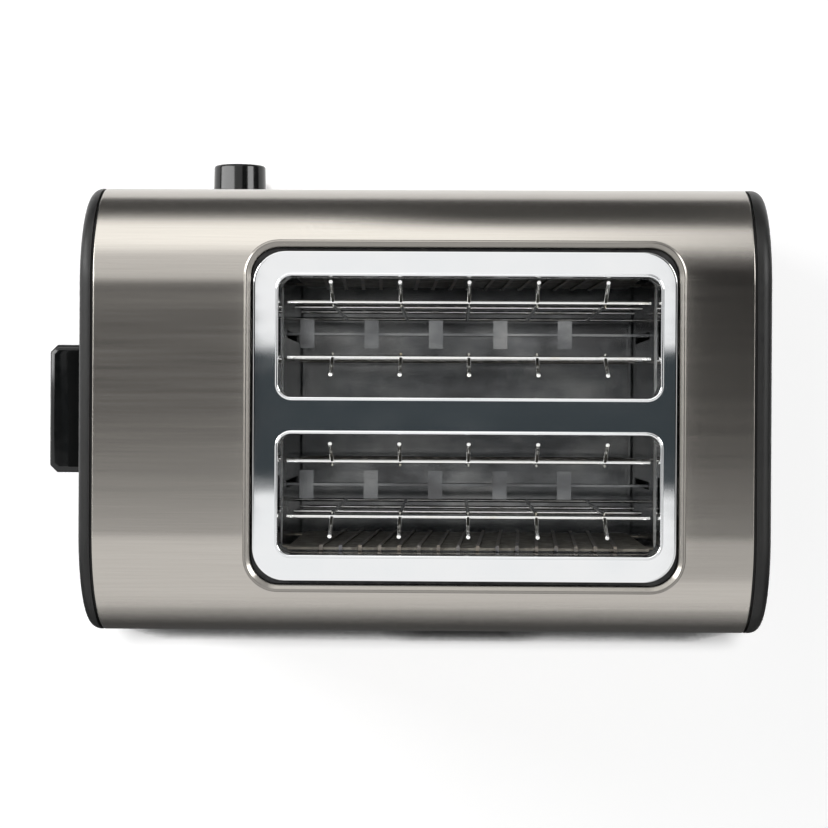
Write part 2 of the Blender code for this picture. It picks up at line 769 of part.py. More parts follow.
def chamber_end_plate(name, x, look):
    """A plate at one end of the chamber, slotted for the racks and drilled for the guards."""
    outline = (
        (CHAMBER_MIN_Y, PAN_TOP + GAP),
        (CHAMBER_MAX_Y, PAN_TOP + GAP),
        (CHAMBER_MAX_Y, END_PLATE_TOP),
        (CHAMBER_MIN_Y, END_PLATE_TOP),
    )
    plate = prism(outline, x, x + END_PLATE_SHEET, "X")
    cuts = []
    for y in BREAD_YS:
        half = RACK_SHEET / 2 + RACK_SLOT_GAP
        cuts.append(
            box(
                (x - OVERRUN, y - half, RACK_TOP - RACK_HEIGHT - TRAVEL - RACK_SLOT_GAP),
                (x + END_PLATE_SHEET + OVERRUN, y + half, RACK_TOP + RACK_SLOT_GAP),
            )
        )
        for side in (-1, 1):
            hinge = y + side * GUARD_HINGE_OFFSET
            cuts.append(
                rod(
                    (x - OVERRUN, hinge, GUARD_HINGE_Z),
                    (x + END_PLATE_SHEET + OVERRUN, hinge, GUARD_HINGE_Z),
                    WIRE_R + GAP,
                )
            )
    return piece(name, plate, look, cuts=[gathered(cuts)])


def reflector(name, y, look):
    """The bright sheet behind an outer heater card."""
    low = TRAY_TOP + TRAY_DOOR_MARGIN
    outline = (
        (y - REFLECTOR_SHEET / 2, low),
        (y + REFLECTOR_SHEET / 2, low),
        (y + REFLECTOR_SHEET / 2, REFLECTOR_TOP),
        (y - REFLECTOR_SHEET / 2, REFLECTOR_TOP),
    )
    return piece(name, prism(outline, CHAMBER_MIN_X + GAP, CHAMBER_MAX_X - GAP, "X"), look)


def card_ys():
    return (BREAD_YS[0] - CARD_OFFSET, CHAMBER_Y, BREAD_YS[1] + CARD_OFFSET)


def heater_card(name, y, look):
    """A mica card that reaches the end plates only with the tabs at its four corners."""
    low_x = CHAMBER_MIN_X + GAP
    high_x = CHAMBER_MAX_X - GAP
    body = box(
        (low_x + CARD_NECK, y - CARD_SHEET / 2, CARD_BOTTOM),
        (high_x - CARD_NECK, y + CARD_SHEET / 2, CARD_TOP),
    )
    tabs = []
    for z in (CARD_BOTTOM + CARD_TAB, CARD_TOP - 2 * CARD_TAB):
        half = (CARD_SHEET - GAP) / 2
        tabs.append(box((low_x, y - half, z), (high_x, y + half, z + CARD_TAB)))
    return piece(name, body, look, adds=[gathered(tabs)])


def winding(name, y, look):
    """One unbroken ribbon wound round a heater card, over its top edge and under its low edge."""
    start = CHAMBER_MIN_X + CARD_NECK + WINDING_END
    pitch = (CHAMBER_LENGTH - 2 * (CARD_NECK + WINDING_END)) / WINDING_LOOPS
    off = CARD_SHEET / 2 + GAP + RIBBON_THICKNESS / 2
    low = CARD_BOTTOM - off
    high = CARD_TOP + off
    route = []
    for loop in range(WINDING_LOOPS):
        for share, side, z in ((0, -1, low), (0.5, -1, high), (0.5, 1, high), (1, 1, low)):
            route.append((start + (loop + share) * pitch, y + side * off, z))
    half = (RIBBON_WIDTH / 2, RIBBON_THICKNESS / 2)
    section = [(-half[0], -half[1]), (half[0], -half[1]), (half[0], half[1]), (-half[0], half[1])]
    print(f"{name}: least gap between its turns {(pitch - RIBBON_WIDTH) * 1000:.2f} mm")
    return piece(name, sweep(route, section, Vector((1, 0, 0))), look)


def bread_guard(name, bread_y, side, look):
    """A wire cage beside one slice, on a hinge wire that runs through both end plates."""
    hinge_y = bread_y + side * GUARD_HINGE_OFFSET
    knee_y = bread_y + side * GUARD_KNEE_OFFSET
    rim_y = bread_y + side * GUARD_RIM_OFFSET
    section = round_section(WIRE_R)
    uprights = []
    for index in range(GUARD_WIRES):
        x = SLOT_X + (index - (GUARD_WIRES - 1) / 2) * GUARD_PITCH
        route = (
            (x, hinge_y, GUARD_HINGE_Z),
            (x, knee_y, GUARD_KNEE_Z),
            (x, rim_y, GUARD_RIM_Z),
        )
        uprights.append(sweep(route, section, Vector((1, 0, 0))))
    heights = [(GUARD_HINGE_Z, hinge_y, -HINGE_REACH - END_PLATE_SHEET)]
    heights.append((GUARD_KNEE_Z, knee_y + side * WIRE_R, GUARD_END_GAP))
    for share in GUARD_LEVEL_SHARES:
        z = GUARD_HINGE_Z + share * (GUARD_KNEE_Z - GUARD_HINGE_Z)
        y = hinge_y + share * (knee_y - hinge_y) + side * WIRE_R
        heights.append((z, y, GUARD_END_GAP))
    rails = []
    for z, y, inset in heights:
        ends = ((CHAMBER_MIN_X + inset, y, z), (CHAMBER_MAX_X - inset, y, z))
        rails.append(sweep(ends, section, Vector((0, 0, 1))))
    return piece(
        name,
        gathered(uprights),
        look,
        adds=[gathered(rails)],
        pivot=(SLOT_X, hinge_y, GUARD_HINGE_Z),
    )


def bread_rack(name, y, look):
    """The rail under one slice, from the carriage through both end plates, with saddles."""
    low = RACK_TOP - RACK_HEIGHT
    strip = box(
        (CHAMBER_MIN_X - END_PLATE_SHEET - RACK_REACH, y - RACK_SHEET / 2, low),
        (CARRIAGE_X - GAP, y + RACK_SHEET / 2, RACK_TOP - RACK_SHEET / 2),
    )
    saddles = []
    for index in range(GUARD_WIRES):
        x = SLOT_X + (index - (GUARD_WIRES - 1) / 2) * GUARD_PITCH + GUARD_PITCH / 2
        if x + SADDLE_LENGTH < CHAMBER_MAX_X:
            saddles.append(
                box(
                    (x - SADDLE_LENGTH / 2, y - SADDLE_WIDTH / 2, RACK_TOP - RACK_SHEET),
                    (x + SADDLE_LENGTH / 2, y + SADDLE_WIDTH / 2, RACK_TOP),
                )
            )
    return piece(name, strip, look, adds=[gathered(saddles)])


def carriage(look):
    """The sliding plate with its two bushes, the lever arm, the spring lug and the armature wing."""
    low = CARRIAGE_LOW
    near = BREAD_YS[0] - CARRIAGE_WING
    far = BREAD_YS[1] + CARRIAGE_WING
    mid = ROD_Y + BUSH_SIZE / 2
    arm_low = ARM_Z - ARM_HEIGHT / 2
    arm_top = ARM_Z + ARM_HEIGHT / 2
    outline = (
        (near, low),
        (far, low),
        (far, CARRIAGE_TOP),
        (mid, CARRIAGE_TOP),
        (ARM_HEIGHT / 2, arm_top + OVERRUN),
        (-ARM_HEIGHT / 2, arm_top + OVERRUN),
        (-mid, CARRIAGE_TOP),
        (near, CARRIAGE_TOP),
    )
    plate = prism(outline, CARRIAGE_X, CARRIAGE_X + CARRIAGE_SHEET, "X")
    inside = CARRIAGE_X + CARRIAGE_SHEET / 2
    adds = [
        box(
            (inside, -ARM_SHEET / 2, arm_low),
            (HALF_LENGTH + LEVER_STANDOFF + ARM_SOCKET, ARM_SHEET / 2, arm_top),
        )
    ]
    holes = []
    for side in (-1, 1):
        y = side * ROD_Y
        adds.append(
            box(
                (inside, y - BUSH_SIZE / 2, low + OVERRUN),
                (ROD_X + BUSH_SIZE / 2, y + BUSH_SIZE / 2, low + OVERRUN + BUSH_HEIGHT),
            )
        )
        holes.append(rod((ROD_X, y, low), (ROD_X, y, CARRIAGE_TOP), ROD_R + GAP))
    adds.append(
        box(
            (inside, SPRING_Y - SPRING_LUG / 2, CARRIAGE_TOP - 2 * SPRING_LUG_SHEET),
            (ROD_X + SPRING_LUG / 2, SPRING_Y + SPRING_LUG / 2 - GAP, CARRIAGE_TOP - SPRING_LUG_SHEET),
        )
    )
    wing = box(
        (inside, MAGNET_Y - MAGNET_SIZE / 2, low),
        (ROD_X + MAGNET_SIZE / 2, near + CARRIAGE_WING, low + ARMATURE_SHEET),
    )
    wing_web = box(
        (CARRIAGE_X + CARRIAGE_SHEET / 4, MAGNET_Y - MAGNET_SIZE / 2, low + ARMATURE_SHEET / 2),
        (CARRIAGE_X + CARRIAGE_SHEET, near + CARRIAGE_WING / 2, low + CARRIAGE_HEIGHT / 2),
    )
    return piece(
        "carriage", plate, look, adds=[gathered(adds), wing, wing_web], last_cuts=[gathered(holes)]
    )


def guide_rod(name, y, look):
    return piece(name, rod((ROD_X, y, PAN_TOP + GAP), (ROD_X, y, ROD_TOP), ROD_R), look)


def rod_bracket(look):
    """The plate that holds the upper ends of the rods to the end plate."""
    half = ROD_Y + BRACKET_MARGIN
    plate = box(
        (MECHANISM_X + GAP, -half, BRACKET_Z),
        (ROD_X + BRACKET_MARGIN, half, BRACKET_Z + BRACKET_SHEET),
    )
    holes = []
    for y in (-ROD_Y, ROD_Y):
        holes.append(
            rod(
                (ROD_X, y, BRACKET_Z - OVERRUN),
                (ROD_X, y, BRACKET_Z + BRACKET_SHEET + OVERRUN),
                ROD_R + GAP,
            )
        )
    return piece("rod_bracket", plate, look, cuts=[gathered(holes)])


def lift_spring(look):
    """The spring between the bracket and the carriage's lug, as one helix."""
    low = CARRIAGE_TOP - SPRING_LUG_SHEET + GAP + SPRING_WIRE_R
    high = BRACKET_Z - GAP - SPRING_WIRE_R
    count = SPRING_CURLS * SPRING_POINTS
    route = []
    for step in range(count + 1):
        turn = 2 * math.pi * step / SPRING_POINTS
        route.append(
            (
                ROD_X + SPRING_R * math.cos(turn),
                SPRING_Y + SPRING_R * math.sin(turn),
                low + (high - low) * step / count,
            )
        )
    least = (high - low) / SPRING_CURLS - 2 * SPRING_WIRE_R
    print(f"lift_spring: least gap between its curls {least * 1000:.2f} mm")
    return piece(
        "lift_spring", sweep(route, round_section(SPRING_WIRE_R), Vector((0, 0, 1))), look
    )


def lever_knob(look):
    """The push-down knob on the arm's end, hollow where the arm goes in."""
    near = HALF_LENGTH + LEVER_STANDOFF
    outline = rounded((0, ARM_Z), (LEVER_WIDTH, LEVER_HEIGHT), LEVER_EDGE, 2)
    inner = rounded(
        (0, ARM_Z), (LEVER_WIDTH - 2 * LEVER_EDGE, LEVER_HEIGHT - 2 * LEVER_EDGE), LEVER_EDGE / 2, 2
    )
    rings = [
        [at("X", near, u, v) for u, v in outline],
        [at("X", OVERALL_MAX_X - LEVER_EDGE, u, v) for u, v in outline],
        [at("X", OVERALL_MAX_X, u, v) for u, v in inner],
    ]
    half = ARM_SHEET / 2 + GAP
    socket = box(
        (near - OVERRUN, -half, ARM_Z - ARM_HEIGHT / 2 - GAP),
        (near + ARM_SOCKET + GAP, half, ARM_Z + ARM_HEIGHT / 2 + GAP),
    )
    return piece("lever_knob", loft(rings), look, cuts=[socket])


def magnet_core(look):
    """The pole of the holding magnet, on a flange that stands on the pan."""
    base = PAN_TOP + GAP
    centre = (ROD_X, MAGNET_Y)
    half = MAGNET_SIZE / 2
    pole = MAGNET_POLE / 2
    flange = box(
        (centre[0] - half, centre[1] - half, base),
        (centre[0] + half, centre[1] + half, base + MAGNET_FLANGE),
    )
    post = box(
        (centre[0] - pole, centre[1] - pole, base + MAGNET_FLANGE / 2),
        (centre[0] + pole, centre[1] + pole, POLE_Z),
    )
    return piece("magnet_core", flange, look, adds=[post])


def magnet_coil(look):
    """The magnet's bobbin of wire, as the plain block that its wrapping makes it."""
    inner = MAGNET_POLE / 2 + GAP
    outer = inner + COIL_WALL
    low = PAN_TOP + GAP + MAGNET_FLANGE + GAP
    block = box(
        (ROD_X - outer, MAGNET_Y - outer, low),
        (ROD_X + outer, MAGNET_Y + outer, low + COIL_HEIGHT),
    )
    bore = box(
        (ROD_X - inner, MAGNET_Y - inner, low - OVERRUN),
        (ROD_X + inner, MAGNET_Y + inner, low + COIL_HEIGHT + OVERRUN),
    )
    return piece("magnet_coil", block, look, cuts=[bore])


def armature_plate(look):
    half = MAGNET_POLE / 2 + GAP
    plate = box(
        (ROD_X - half, MAGNET_Y - half, ARMATURE_Z),
        (ROD_X + half, MAGNET_Y + half, ARMATURE_Z + ARMATURE_SHEET),
    )
    return piece("armature_plate", plate, look)


def control_board(look):
    board = box(
        (CONTROL_X - BOARD_LENGTH / 2, BOARD_Y, PAN_TOP + GAP),
        (CONTROL_X + BOARD_LENGTH / 2, BOARD_Y + BOARD_SHEET, BOARD_TOP),
    )
    return piece("control_board", board, look)


def browning_pot(look):
    """The timing control on the board, bored for the knob's shaft."""
    back = BOARD_Y - GAP
    front = back - POT_LENGTH
    bore = SHAFT_R + GAP
    shape = turned(
        (CONTROL_X, KNOB_Z),
        "Y",
        [(bore, front), (POT_R, front), (POT_R, back), (bore, back)],
        SMALL_SIDES,
        ring_shaped=True,
    )
    return piece("browning_pot", shape, look)


def browning_shaft(look):
    front = -HALF_DEPTH - KNOB_STANDOFF - SHAFT_GRIP
    back = BOARD_Y - GAP - POT_LENGTH + SHAFT_SEAT
    shape = rod((CONTROL_X, back, KNOB_Z), (CONTROL_X, front, KNOB_Z), SHAFT_R)
    return piece("browning_shaft", shape, look, pivot=(CONTROL_X, -HALF_DEPTH, KNOB_Z))


def browning_knob(look):
    near = -HALF_DEPTH - KNOB_STANDOFF
    end = OVERALL_MIN_Y
    bore = SHAFT_R + GAP
    deep = near - SHAFT_GRIP - GAP
    tip = KNOB_R - KNOB_DRAFT
    shape = turned(
        (CONTROL_X, KNOB_Z),
        "Y",
        [
            (bore, deep),
            (bore, near),
            (KNOB_R, near),
            (tip, end + KNOB_EDGE),
            (tip - KNOB_EDGE, end),
        ],
    )
    return piece("browning_knob", shape, look, pivot=(CONTROL_X, -HALF_DEPTH, KNOB_Z))


def push_button(name, z, look):
    """A round button held by the flange behind the front wall, with a stem to its switch."""
    proud = -HALF_DEPTH - BUTTON_PROUD
    inside = -HALF_DEPTH + SHEET + GAP
    stem_end = BOARD_Y - GAP - SWITCH_HEIGHT - BUTTON_TRAVEL - GAP
    edge = BUTTON_PROUD / 2
    shape = turned(
        (CONTROL_X, z),
        "Y",
        [
            (BUTTON_R - edge, proud),
            (BUTTON_R, proud + edge),
            (BUTTON_R, inside),
            (BUTTON_FLANGE_R, inside),
            (BUTTON_FLANGE_R, inside + BUTTON_FLANGE),
            (BUTTON_STEM_R, inside + BUTTON_FLANGE),
            (BUTTON_STEM_R, stem_end),
        ],
    )
    return piece(name, shape, look, pivot=(CONTROL_X, -HALF_DEPTH, z))


def tact_switch(name, z, look):
    half = SWITCH_SIZE / 2
    back = BOARD_Y - GAP
    shape = box(
        (CONTROL_X - half, back - SWITCH_HEIGHT, z - half), (CONTROL_X + half, back, z + half)
    )
    return piece(name, shape, look)


def relay(look):
    front = BOARD_Y + BOARD_SHEET + GAP
    shape = box(
        (CONTROL_X - RELAY_LENGTH / 2, front, RELAY_Z),
        (CONTROL_X + RELAY_LENGTH / 2, front + RELAY_DEPTH, RELAY_Z + RELAY_HEIGHT),
    )
    return piece("relay", shape, look)


def cord_gland(look):
    """The open inlet bush in the back wall."""
    inside = HALF_DEPTH - SHEET - GLAND_TAIL
    shape = turned(
        (INLET_X, INLET_Z),
        "Y",
        [
            (GLAND_BORE_R, inside),
            (GLAND_R, inside),
            (GLAND_R, HALF_DEPTH + GAP),
            (GLAND_LIP_R, HALF_DEPTH + GAP),
            (GLAND_LIP_R - GLAND_LIP / 2, HALF_DEPTH + GAP + GLAND_LIP),
            (GLAND_BORE_R, HALF_DEPTH + GAP + GLAND_LIP),
        ],
        ring_shaped=True,
    )
    return piece("cord_gland", shape, look)


def terminal_block(look):
    """A screw terminal strip on the pan, with one wire hole a way."""
    base = PAN_TOP + GAP
    block = box(
        (INLET_X - TERMINAL_LENGTH / 2, TERMINAL_Y - TERMINAL_DEPTH / 2, base),
        (INLET_X + TERMINAL_LENGTH / 2, TERMINAL_Y + TERMINAL_DEPTH / 2, base + TERMINAL_HEIGHT),
    )
    holes = []
    for way in range(TERMINAL_WAYS):
        y = TERMINAL_Y + (way - (TERMINAL_WAYS - 1) / 2) * TERMINAL_DEPTH / TERMINAL_WAYS
        holes.append(
            rod(
                (INLET_X - TERMINAL_LENGTH, y, base + TERMINAL_HEIGHT / 2),
                (INLET_X + TERMINAL_LENGTH, y, base + TERMINAL_HEIGHT / 2),
                TERMINAL_HOLE_R,
            )
        )
    return piece("terminal_block", block, look, cuts=[gathered(holes)])


def build():
    steel = material("brushed_steel", (0.42, 0.39, 0.36), 0.35, 1.0)
    chrome = material("chrome", (0.85, 0.86, 0.87), 0.06, 1.0)
    cap_grey = material("cap_grey", (0.055, 0.055, 0.055), 0.45, 0.0)
    black = material("gloss_black", (0.012, 0.013, 0.013), 0.15, 0.0)
    zinc = material("zinc_plate", (0.62, 0.62, 0.60), 0.35, 1.0)
    nickel = material("nickel_wire", (0.72, 0.71, 0.68), 0.18, 1.0)
    mica = material("mica", (0.45, 0.38, 0.26), 0.45, 0.0)
    ribbon = material("heater_ribbon", (0.30, 0.28, 0.26), 0.35, 1.0)
    rubber = material("rubber", (0.03, 0.03, 0.03), 0.8, 0.0)
    board = material("board", (0.18, 0.30, 0.12), 0.5, 0.0)
    copper = material("coil_tape", (0.55, 0.25, 0.08), 0.4, 0.0)
    pale = material("pale_plastic", (0.75, 0.74, 0.70), 0.5, 0.0)

    wrap_shell(steel)
    end_cap("end_cap_lever_side", 1, LEVER_CAP_BAND, cap_grey, [lever_window()])
    end_cap("end_cap_plain_side", -1, PLAIN_CAP_BAND, cap_grey, [])
    slot_plate(chrome)
    base_pan(zinc)
    for number, place in enumerate(foot_places(), 1):
        foot(f"foot_{number}", place, rubber)
    for number, place in enumerate(screw_places(), 1):
        base_screw(f"base_screw_{number}", place, zinc)
    crumb_tray(zinc)

    chamber_end_plate("chamber_end_plate_lever_side", CHAMBER_MAX_X, zinc)
    chamber_end_plate("chamber_end_plate_plain_side", CHAMBER_MIN_X - END_PLATE_SHEET, zinc)
    reflector("reflector_front", BREAD_YS[0] - REFLECTOR_OFFSET, zinc)
    reflector("reflector_rear", BREAD_YS[1] + REFLECTOR_OFFSET, zinc)
    for place, y in zip(("front", "middle", "rear"), card_ys()):
        heater_card(f"heater_card_{place}", y, mica)
        winding(f"heater_ribbon_{place}", y, ribbon)
    for slot, bread_y in zip(("front_slot", "rear_slot"), BREAD_YS):
        bread_guard(f"{slot}_front_guard", bread_y, -1, nickel)
        bread_guard(f"{slot}_rear_guard", bread_y, 1, nickel)
        bread_rack(f"{slot}_bread_rack", bread_y, zinc)

    carriage(zinc)
    lever_knob(black)
    guide_rod("guide_rod_front", -ROD_Y, nickel)
    guide_rod("guide_rod_rear", ROD_Y, nickel)
    rod_bracket(zinc)
    lift_spring(nickel)
    magnet_core(zinc)
    magnet_coil(copper)
    armature_plate(zinc)

    control_board(board)
    browning_pot(pale)
    browning_shaft(pale)
    browning_knob(black)
    for button, switch, z in zip(BUTTONS, SWITCHES, button_heights()):
        push_button(button, z, black)
        tact_switch(switch, z, pale)
    relay(pale)
    cord_gland(rubber)
    terminal_block(pale)


clear_scene()
ROOT = bpy.data.objects.new("toaster", None)
ROOT.location = (
    -(OVERALL_MAX_X - HALF_LENGTH) / 2,
    -(OVERALL_MAX_Y + OVERALL_MIN_Y) / 2,
    0,
)
bpy.context.scene.collection.objects.link(ROOT)
build()
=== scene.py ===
import json
import math

import bmesh
import bpy
from mathutils import Matrix, Vector


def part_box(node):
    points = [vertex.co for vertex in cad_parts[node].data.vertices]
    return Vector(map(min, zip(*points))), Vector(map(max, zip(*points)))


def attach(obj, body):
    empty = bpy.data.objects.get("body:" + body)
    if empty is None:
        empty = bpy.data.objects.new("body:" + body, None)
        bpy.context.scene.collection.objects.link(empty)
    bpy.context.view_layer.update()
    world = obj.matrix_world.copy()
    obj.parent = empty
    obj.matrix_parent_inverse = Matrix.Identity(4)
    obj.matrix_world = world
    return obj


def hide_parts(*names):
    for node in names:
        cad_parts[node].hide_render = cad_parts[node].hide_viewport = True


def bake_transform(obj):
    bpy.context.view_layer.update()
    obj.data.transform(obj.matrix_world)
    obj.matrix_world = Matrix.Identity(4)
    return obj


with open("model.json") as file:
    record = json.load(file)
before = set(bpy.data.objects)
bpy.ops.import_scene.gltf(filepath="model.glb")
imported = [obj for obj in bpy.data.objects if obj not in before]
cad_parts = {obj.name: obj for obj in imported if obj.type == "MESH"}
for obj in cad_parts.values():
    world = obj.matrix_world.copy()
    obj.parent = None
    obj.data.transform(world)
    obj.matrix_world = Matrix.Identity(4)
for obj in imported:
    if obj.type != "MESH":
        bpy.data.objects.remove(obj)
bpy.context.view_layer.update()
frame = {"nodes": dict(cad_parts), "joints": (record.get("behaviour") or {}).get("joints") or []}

# The toaster's own sizes, in metres
SHOULDER_R = 0.041
HEEL_R = 0.007
SHEET = 0.001
FLANGE = 0.007
BODY_TOP = 0.190
CAP_EDGE_R = 0.0045
CAP_WALL = 0.0025
SEAM_DEPTH = 0.0018
SEAM_WIDTH = 0.0007
SEAM_GAP = 0.0003
SHEET_EDGE = 0.0003
COLLAR_R = 0.014
COLLAR_WALL = 0.0032
COLLAR_GAP_X = 0.0006
COLLAR_GAP_Y = 0.0013
COLLAR_CREST = 0.0006
COLLAR_BROW = 0.00045
COLLAR_BROW_DEG = 25
COLLAR_SLOPE = 0.0010
COLLAR_DEPTH = 0.0050
COLLAR_MARGIN = 0.0022
COLLAR_CORNER = 0.01075
# How far the painted shade strip in the collar's gap reaches in
PAINTED_SHADE_STRIP_REACH = 0.003
PLATE_R = 0.0128
PLATE_TRIM = 0.0004
PLATE_EDGE = 0.0004
PLATE_SHEET = 0.0012
SLOT_R = 0.0065
SLOT_WIDTH = 0.050
SLOT_PITCH = 0.0618
LIP_WALL = 0.0013
LIP_RISE = 0.0009
SKIRT_DEPTH = 0.016
NOTCH_WIDTH = 0.0144
NOTCH_HEIGHT = 0.009
NOTCH_DROP = 0.0108
LINER_DROP = 0.044
LINER_SHEET = 0.0004
WIRE_R = 0.0008
WIRE_BEND = 0.004
WIRE_LAP_SHARE = 1.6
GUARD_WIRES = 5
GUARD_LEVEL_SHARES = (0.33, 0.66)
GUARD_HINGE_OFFSET = 0.0092
GUARD_KNEE_OFFSET = 0.0098
GUARD_RIM_OFFSET = 0.0182
GUARD_KNEE_DROP = 0.025
GUARD_EDGE = 0.0222
GUARD_END_GAP = 0.004
SPRING_R = 0.0032
SPRING_WIRE_R = 0.0005
SPRING_CURLS = 11
RIBBON_THICKNESS = 0.0004
RIBBON_WIDTH = 0.0014
RIBBON_LOOPS = 16
LEVER_ARM_HALF = 0.005
LEVER_SLOT_WIDTH = 0.005
LEVER_SLOT_SPARE = 0.0015
LEVER_CORNER = 0.0030
LEVER_ROUND = 0.0022
LEVER_EDGE = 0.0004
SOFT_EDGE = 0.0004
KNOB_R = 0.0118
KNOB_DRAFT = 0.0003
KNOB_EDGE = 0.0012
KNOB_RIM = 2 * KNOB_EDGE
KNOB_BEVEL = 2.5 * KNOB_EDGE
KNOB_DISH = 0.0008
MARK_WIDTH = 0.0012
MARK_LENGTH = 0.006
MARK_SINK_SHARE = 0.75
BUTTON_R = 0.007
BUTTON_GAP = 0.0004
BUTTON_EDGE = 0.0006
BUTTON_DISH = 0.0004
BUTTON_SKIRT = 0.003
DISH_SHARES = (1, 0.8, 0.6, 0.4, 0.2, 0)
GLAND_R = 0.0065
GLAND_BORE_R = 0.0037
GLAND_LIP = 0.003
GLAND_EDGE = 0.0012
FOOT_TAPER = 0.0015
FOOT_STUD = 0.0045
FOOT_STUD_R = 0.003
DIMPLE_R = 0.0035
DIMPLE_DEPTH = 0.0006
SCREW_HEAD = 0.0015
SCREW_SHANK_R = 0.0015
SCREW_EDGE = 0.0009
RECESS_LENGTH = 0.0032
RECESS_WIDTH = 0.0008
RECESS_DEPTH = 0.0009
SHAFT_HOLE_R = 0.0036
DOOR_MARGIN = 0.001
MM = 0.001
HAIR = SOFT_EDGE / 8

# How finely round forms are cut
SHOULDER_STEPS = 40
CORNER_STEPS = 12
BEAD_STEPS = 8
EDGE_STEPS = 6
BUTTON_STEPS = 5
SMALL_STEPS = 4
RIM_STEPS = 3
ROUND_SIDES = 64
KNOB_SIDES = 96
WIRE_SIDES = 12
SCREW_SIDES = 48
CURL_STEPS = 24
BEND_STEPS = 5

# How near counts as touching, and how straight on a face has to look
CUT_TOUCH = 1e-7
TOUCH = 1e-6
ON_WALL = 1e-5
FACING = 0.9
SQUARE_ON = 0.99
LEVEL = 0.999
SOFT_ANGLE_DEG = 40

# The studio, in metres and degrees
CAMERA_PLACE = (-0.0205, 0.0079, 1.0642)
CAMERA_TURN_DEG = (-0.073, 0.999, 180.309)
CAMERA_LENS = 97.27
SENSOR_WIDTH = 36
FLOOR_REACH = 4
FLOOR_GLOW = 0.30
FLOOR_TINT = (0.86, 0.86, 0.86)
# The floor's painted shadow: how far it reaches and how steeply it falls off
PAINTED_SHADOW_REACH = 0.022
PAINTED_SHADOW_POWER = 20
WHITE_FROM = 0.90
WHITE_BY = 2.20
# The way the floor's painted shadow test leans, toward the front and up
PAINTED_SHADOW_SIDE = (0, -0.7, 0.7)
SKY_LIGHT = 0.18
SLATE = (0.045, 0.055, 0.061)
BLACK = (0.012, 0.012, 0.012)
SOOT = (0.030, 0.030, 0.030)
COAL = (0.080, 0.080, 0.080)
ASH = (0.130, 0.130, 0.130)
PALE = (0.72, 0.72, 0.72)
BRIGHT = (1.85, 1.85, 1.83)
STRIP = (7, 7, 7)
# Each lamp: its name, where it stands, what it aims at, its side and its power
LAMPS = (
    ("overhead", (-0.01, -0.19, 2.4), (0, 0, 0.1), 0.13, 34),
    ("lever_side", (1.05, -0.50, 0.85), (0, 0, 0.15), 0.5, 5),
)
# Each card: its name, its low and high corners, its colour, and how far it fades in from each
CARDS = (
    (
        "ceiling_middle", (-0.200, -0.044, 1.070), (0.1385, 0.0735, 1.071), SLATE,
        (0, 0.008, 0), (0, 0.008, 0),
    ),
    (
        "ceiling_lever_side", (0.1375, -0.165, 1.072), (0.66, 0.135, 1.073), BLACK,
        (0, 0.045, 0), (0.045, 0.135, 0),
    ),
    (
        "ceiling_plain_side", (-0.80, -1.150, 1.074), (-0.199, 0.190, 1.075), SOOT,
        (0.045, 1.000, 0), (0, 0.190, 0),
    ),
    (
        "ceiling_rear_plain_side", (-0.80, 0.120, 1.076), (-0.199, 1.500, 1.077), PALE,
        (0.045, 0.100, 0), (0.006, 0.500, 0),
    ),
    (
        "front_low_lever_side", (-0.20, -0.321, -0.400), (0.70, -0.320, 0.262), COAL,
        (0.100, 0, 0), (0.020, 0, 0.165),
    ),
    (
        "front_low_plain_side", (-0.90, -0.323, -0.400), (0.06, -0.322, 0.290), ASH,
        (0.050, 0, 0), (0.120, 0, 0.100),
    ),
    (
        "rear_low", (-0.70, 0.240, -0.400), (0.70, 0.241, 0.220), COAL,
        (0.030, 0, 0), (0.030, 0, 0.240),
    ),
    (
        "rear_floor", (-0.70, 0.103, 0.001), (0.70, 0.240, 0.002), COAL,
        (0.030, 0, 0), (0.030, 0, 0),
    ),
    (
        "front_high", (-0.42, -1.301, 0.05), (1.70, -1.300, 1.75), BRIGHT,
        (0.550, 0, 0.550), (0.550, 0, 0.550),
    ),
    (
        "plain_side_low", (-0.451, -0.40, -0.400), (-0.450, 0.40, 0.300), COAL,
        (0, 0.040, 0), (0, 0.040, 0.040),
    ),
    (
        "strip_lever_side", (0.920, -0.75, 0.08), (0.921, -0.17, 2.60), STRIP,
        (0, 0.100, 0.150), (0, 0.030, 0.500),
    ),
    (
        "strip_plain_side", (-0.921, -0.75, 0.10), (-0.920, -0.17, 1.70), STRIP,
        (0, 0.100, 0.120), (0, 0.030, 0.350),
    ),
    (
        "low_lever_side", (0.922, -0.75, -0.400), (0.923, -0.17, 0.120), COAL,
        (0, 0, 0), (0, 0.030, 0.030),
    ),
    (
        "low_plain_side", (-0.923, -0.75, -0.400), (-0.922, -0.17, 0.140), COAL,
        (0, 0, 0), (0, 0.030, 0.030),
    ),
)

WRAP_LOW, WRAP_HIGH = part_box("wrap_shell")
HALF_DEPTH = (WRAP_HIGH.y - WRAP_LOW.y) / 2
MIDDLE_Y = (WRAP_HIGH.y + WRAP_LOW.y) / 2
FLAT_Y = HALF_DEPTH - SHOULDER_R
FLAT_Z = BODY_TOP - SHOULDER_R


def add(tree, kind, operation=None):
    """A new shader node."""
    node = tree.nodes.new("ShaderNode" + kind)
    if operation:
        node.operation = operation
    return node


def paint_kit(name, colour, metallic, roughness):
    """A new node material, with its tree and its shader."""
    made = bpy.data.materials.new(name)
    made.use_nodes = True
    tree = made.node_tree
    shader = tree.nodes["Principled BSDF"]
    shader.inputs["Base Color"].default_value = (*colour, 1)
    shader.inputs["Metallic"].default_value = metallic
    shader.inputs["Roughness"].default_value = roughness
    return made, tree, shader


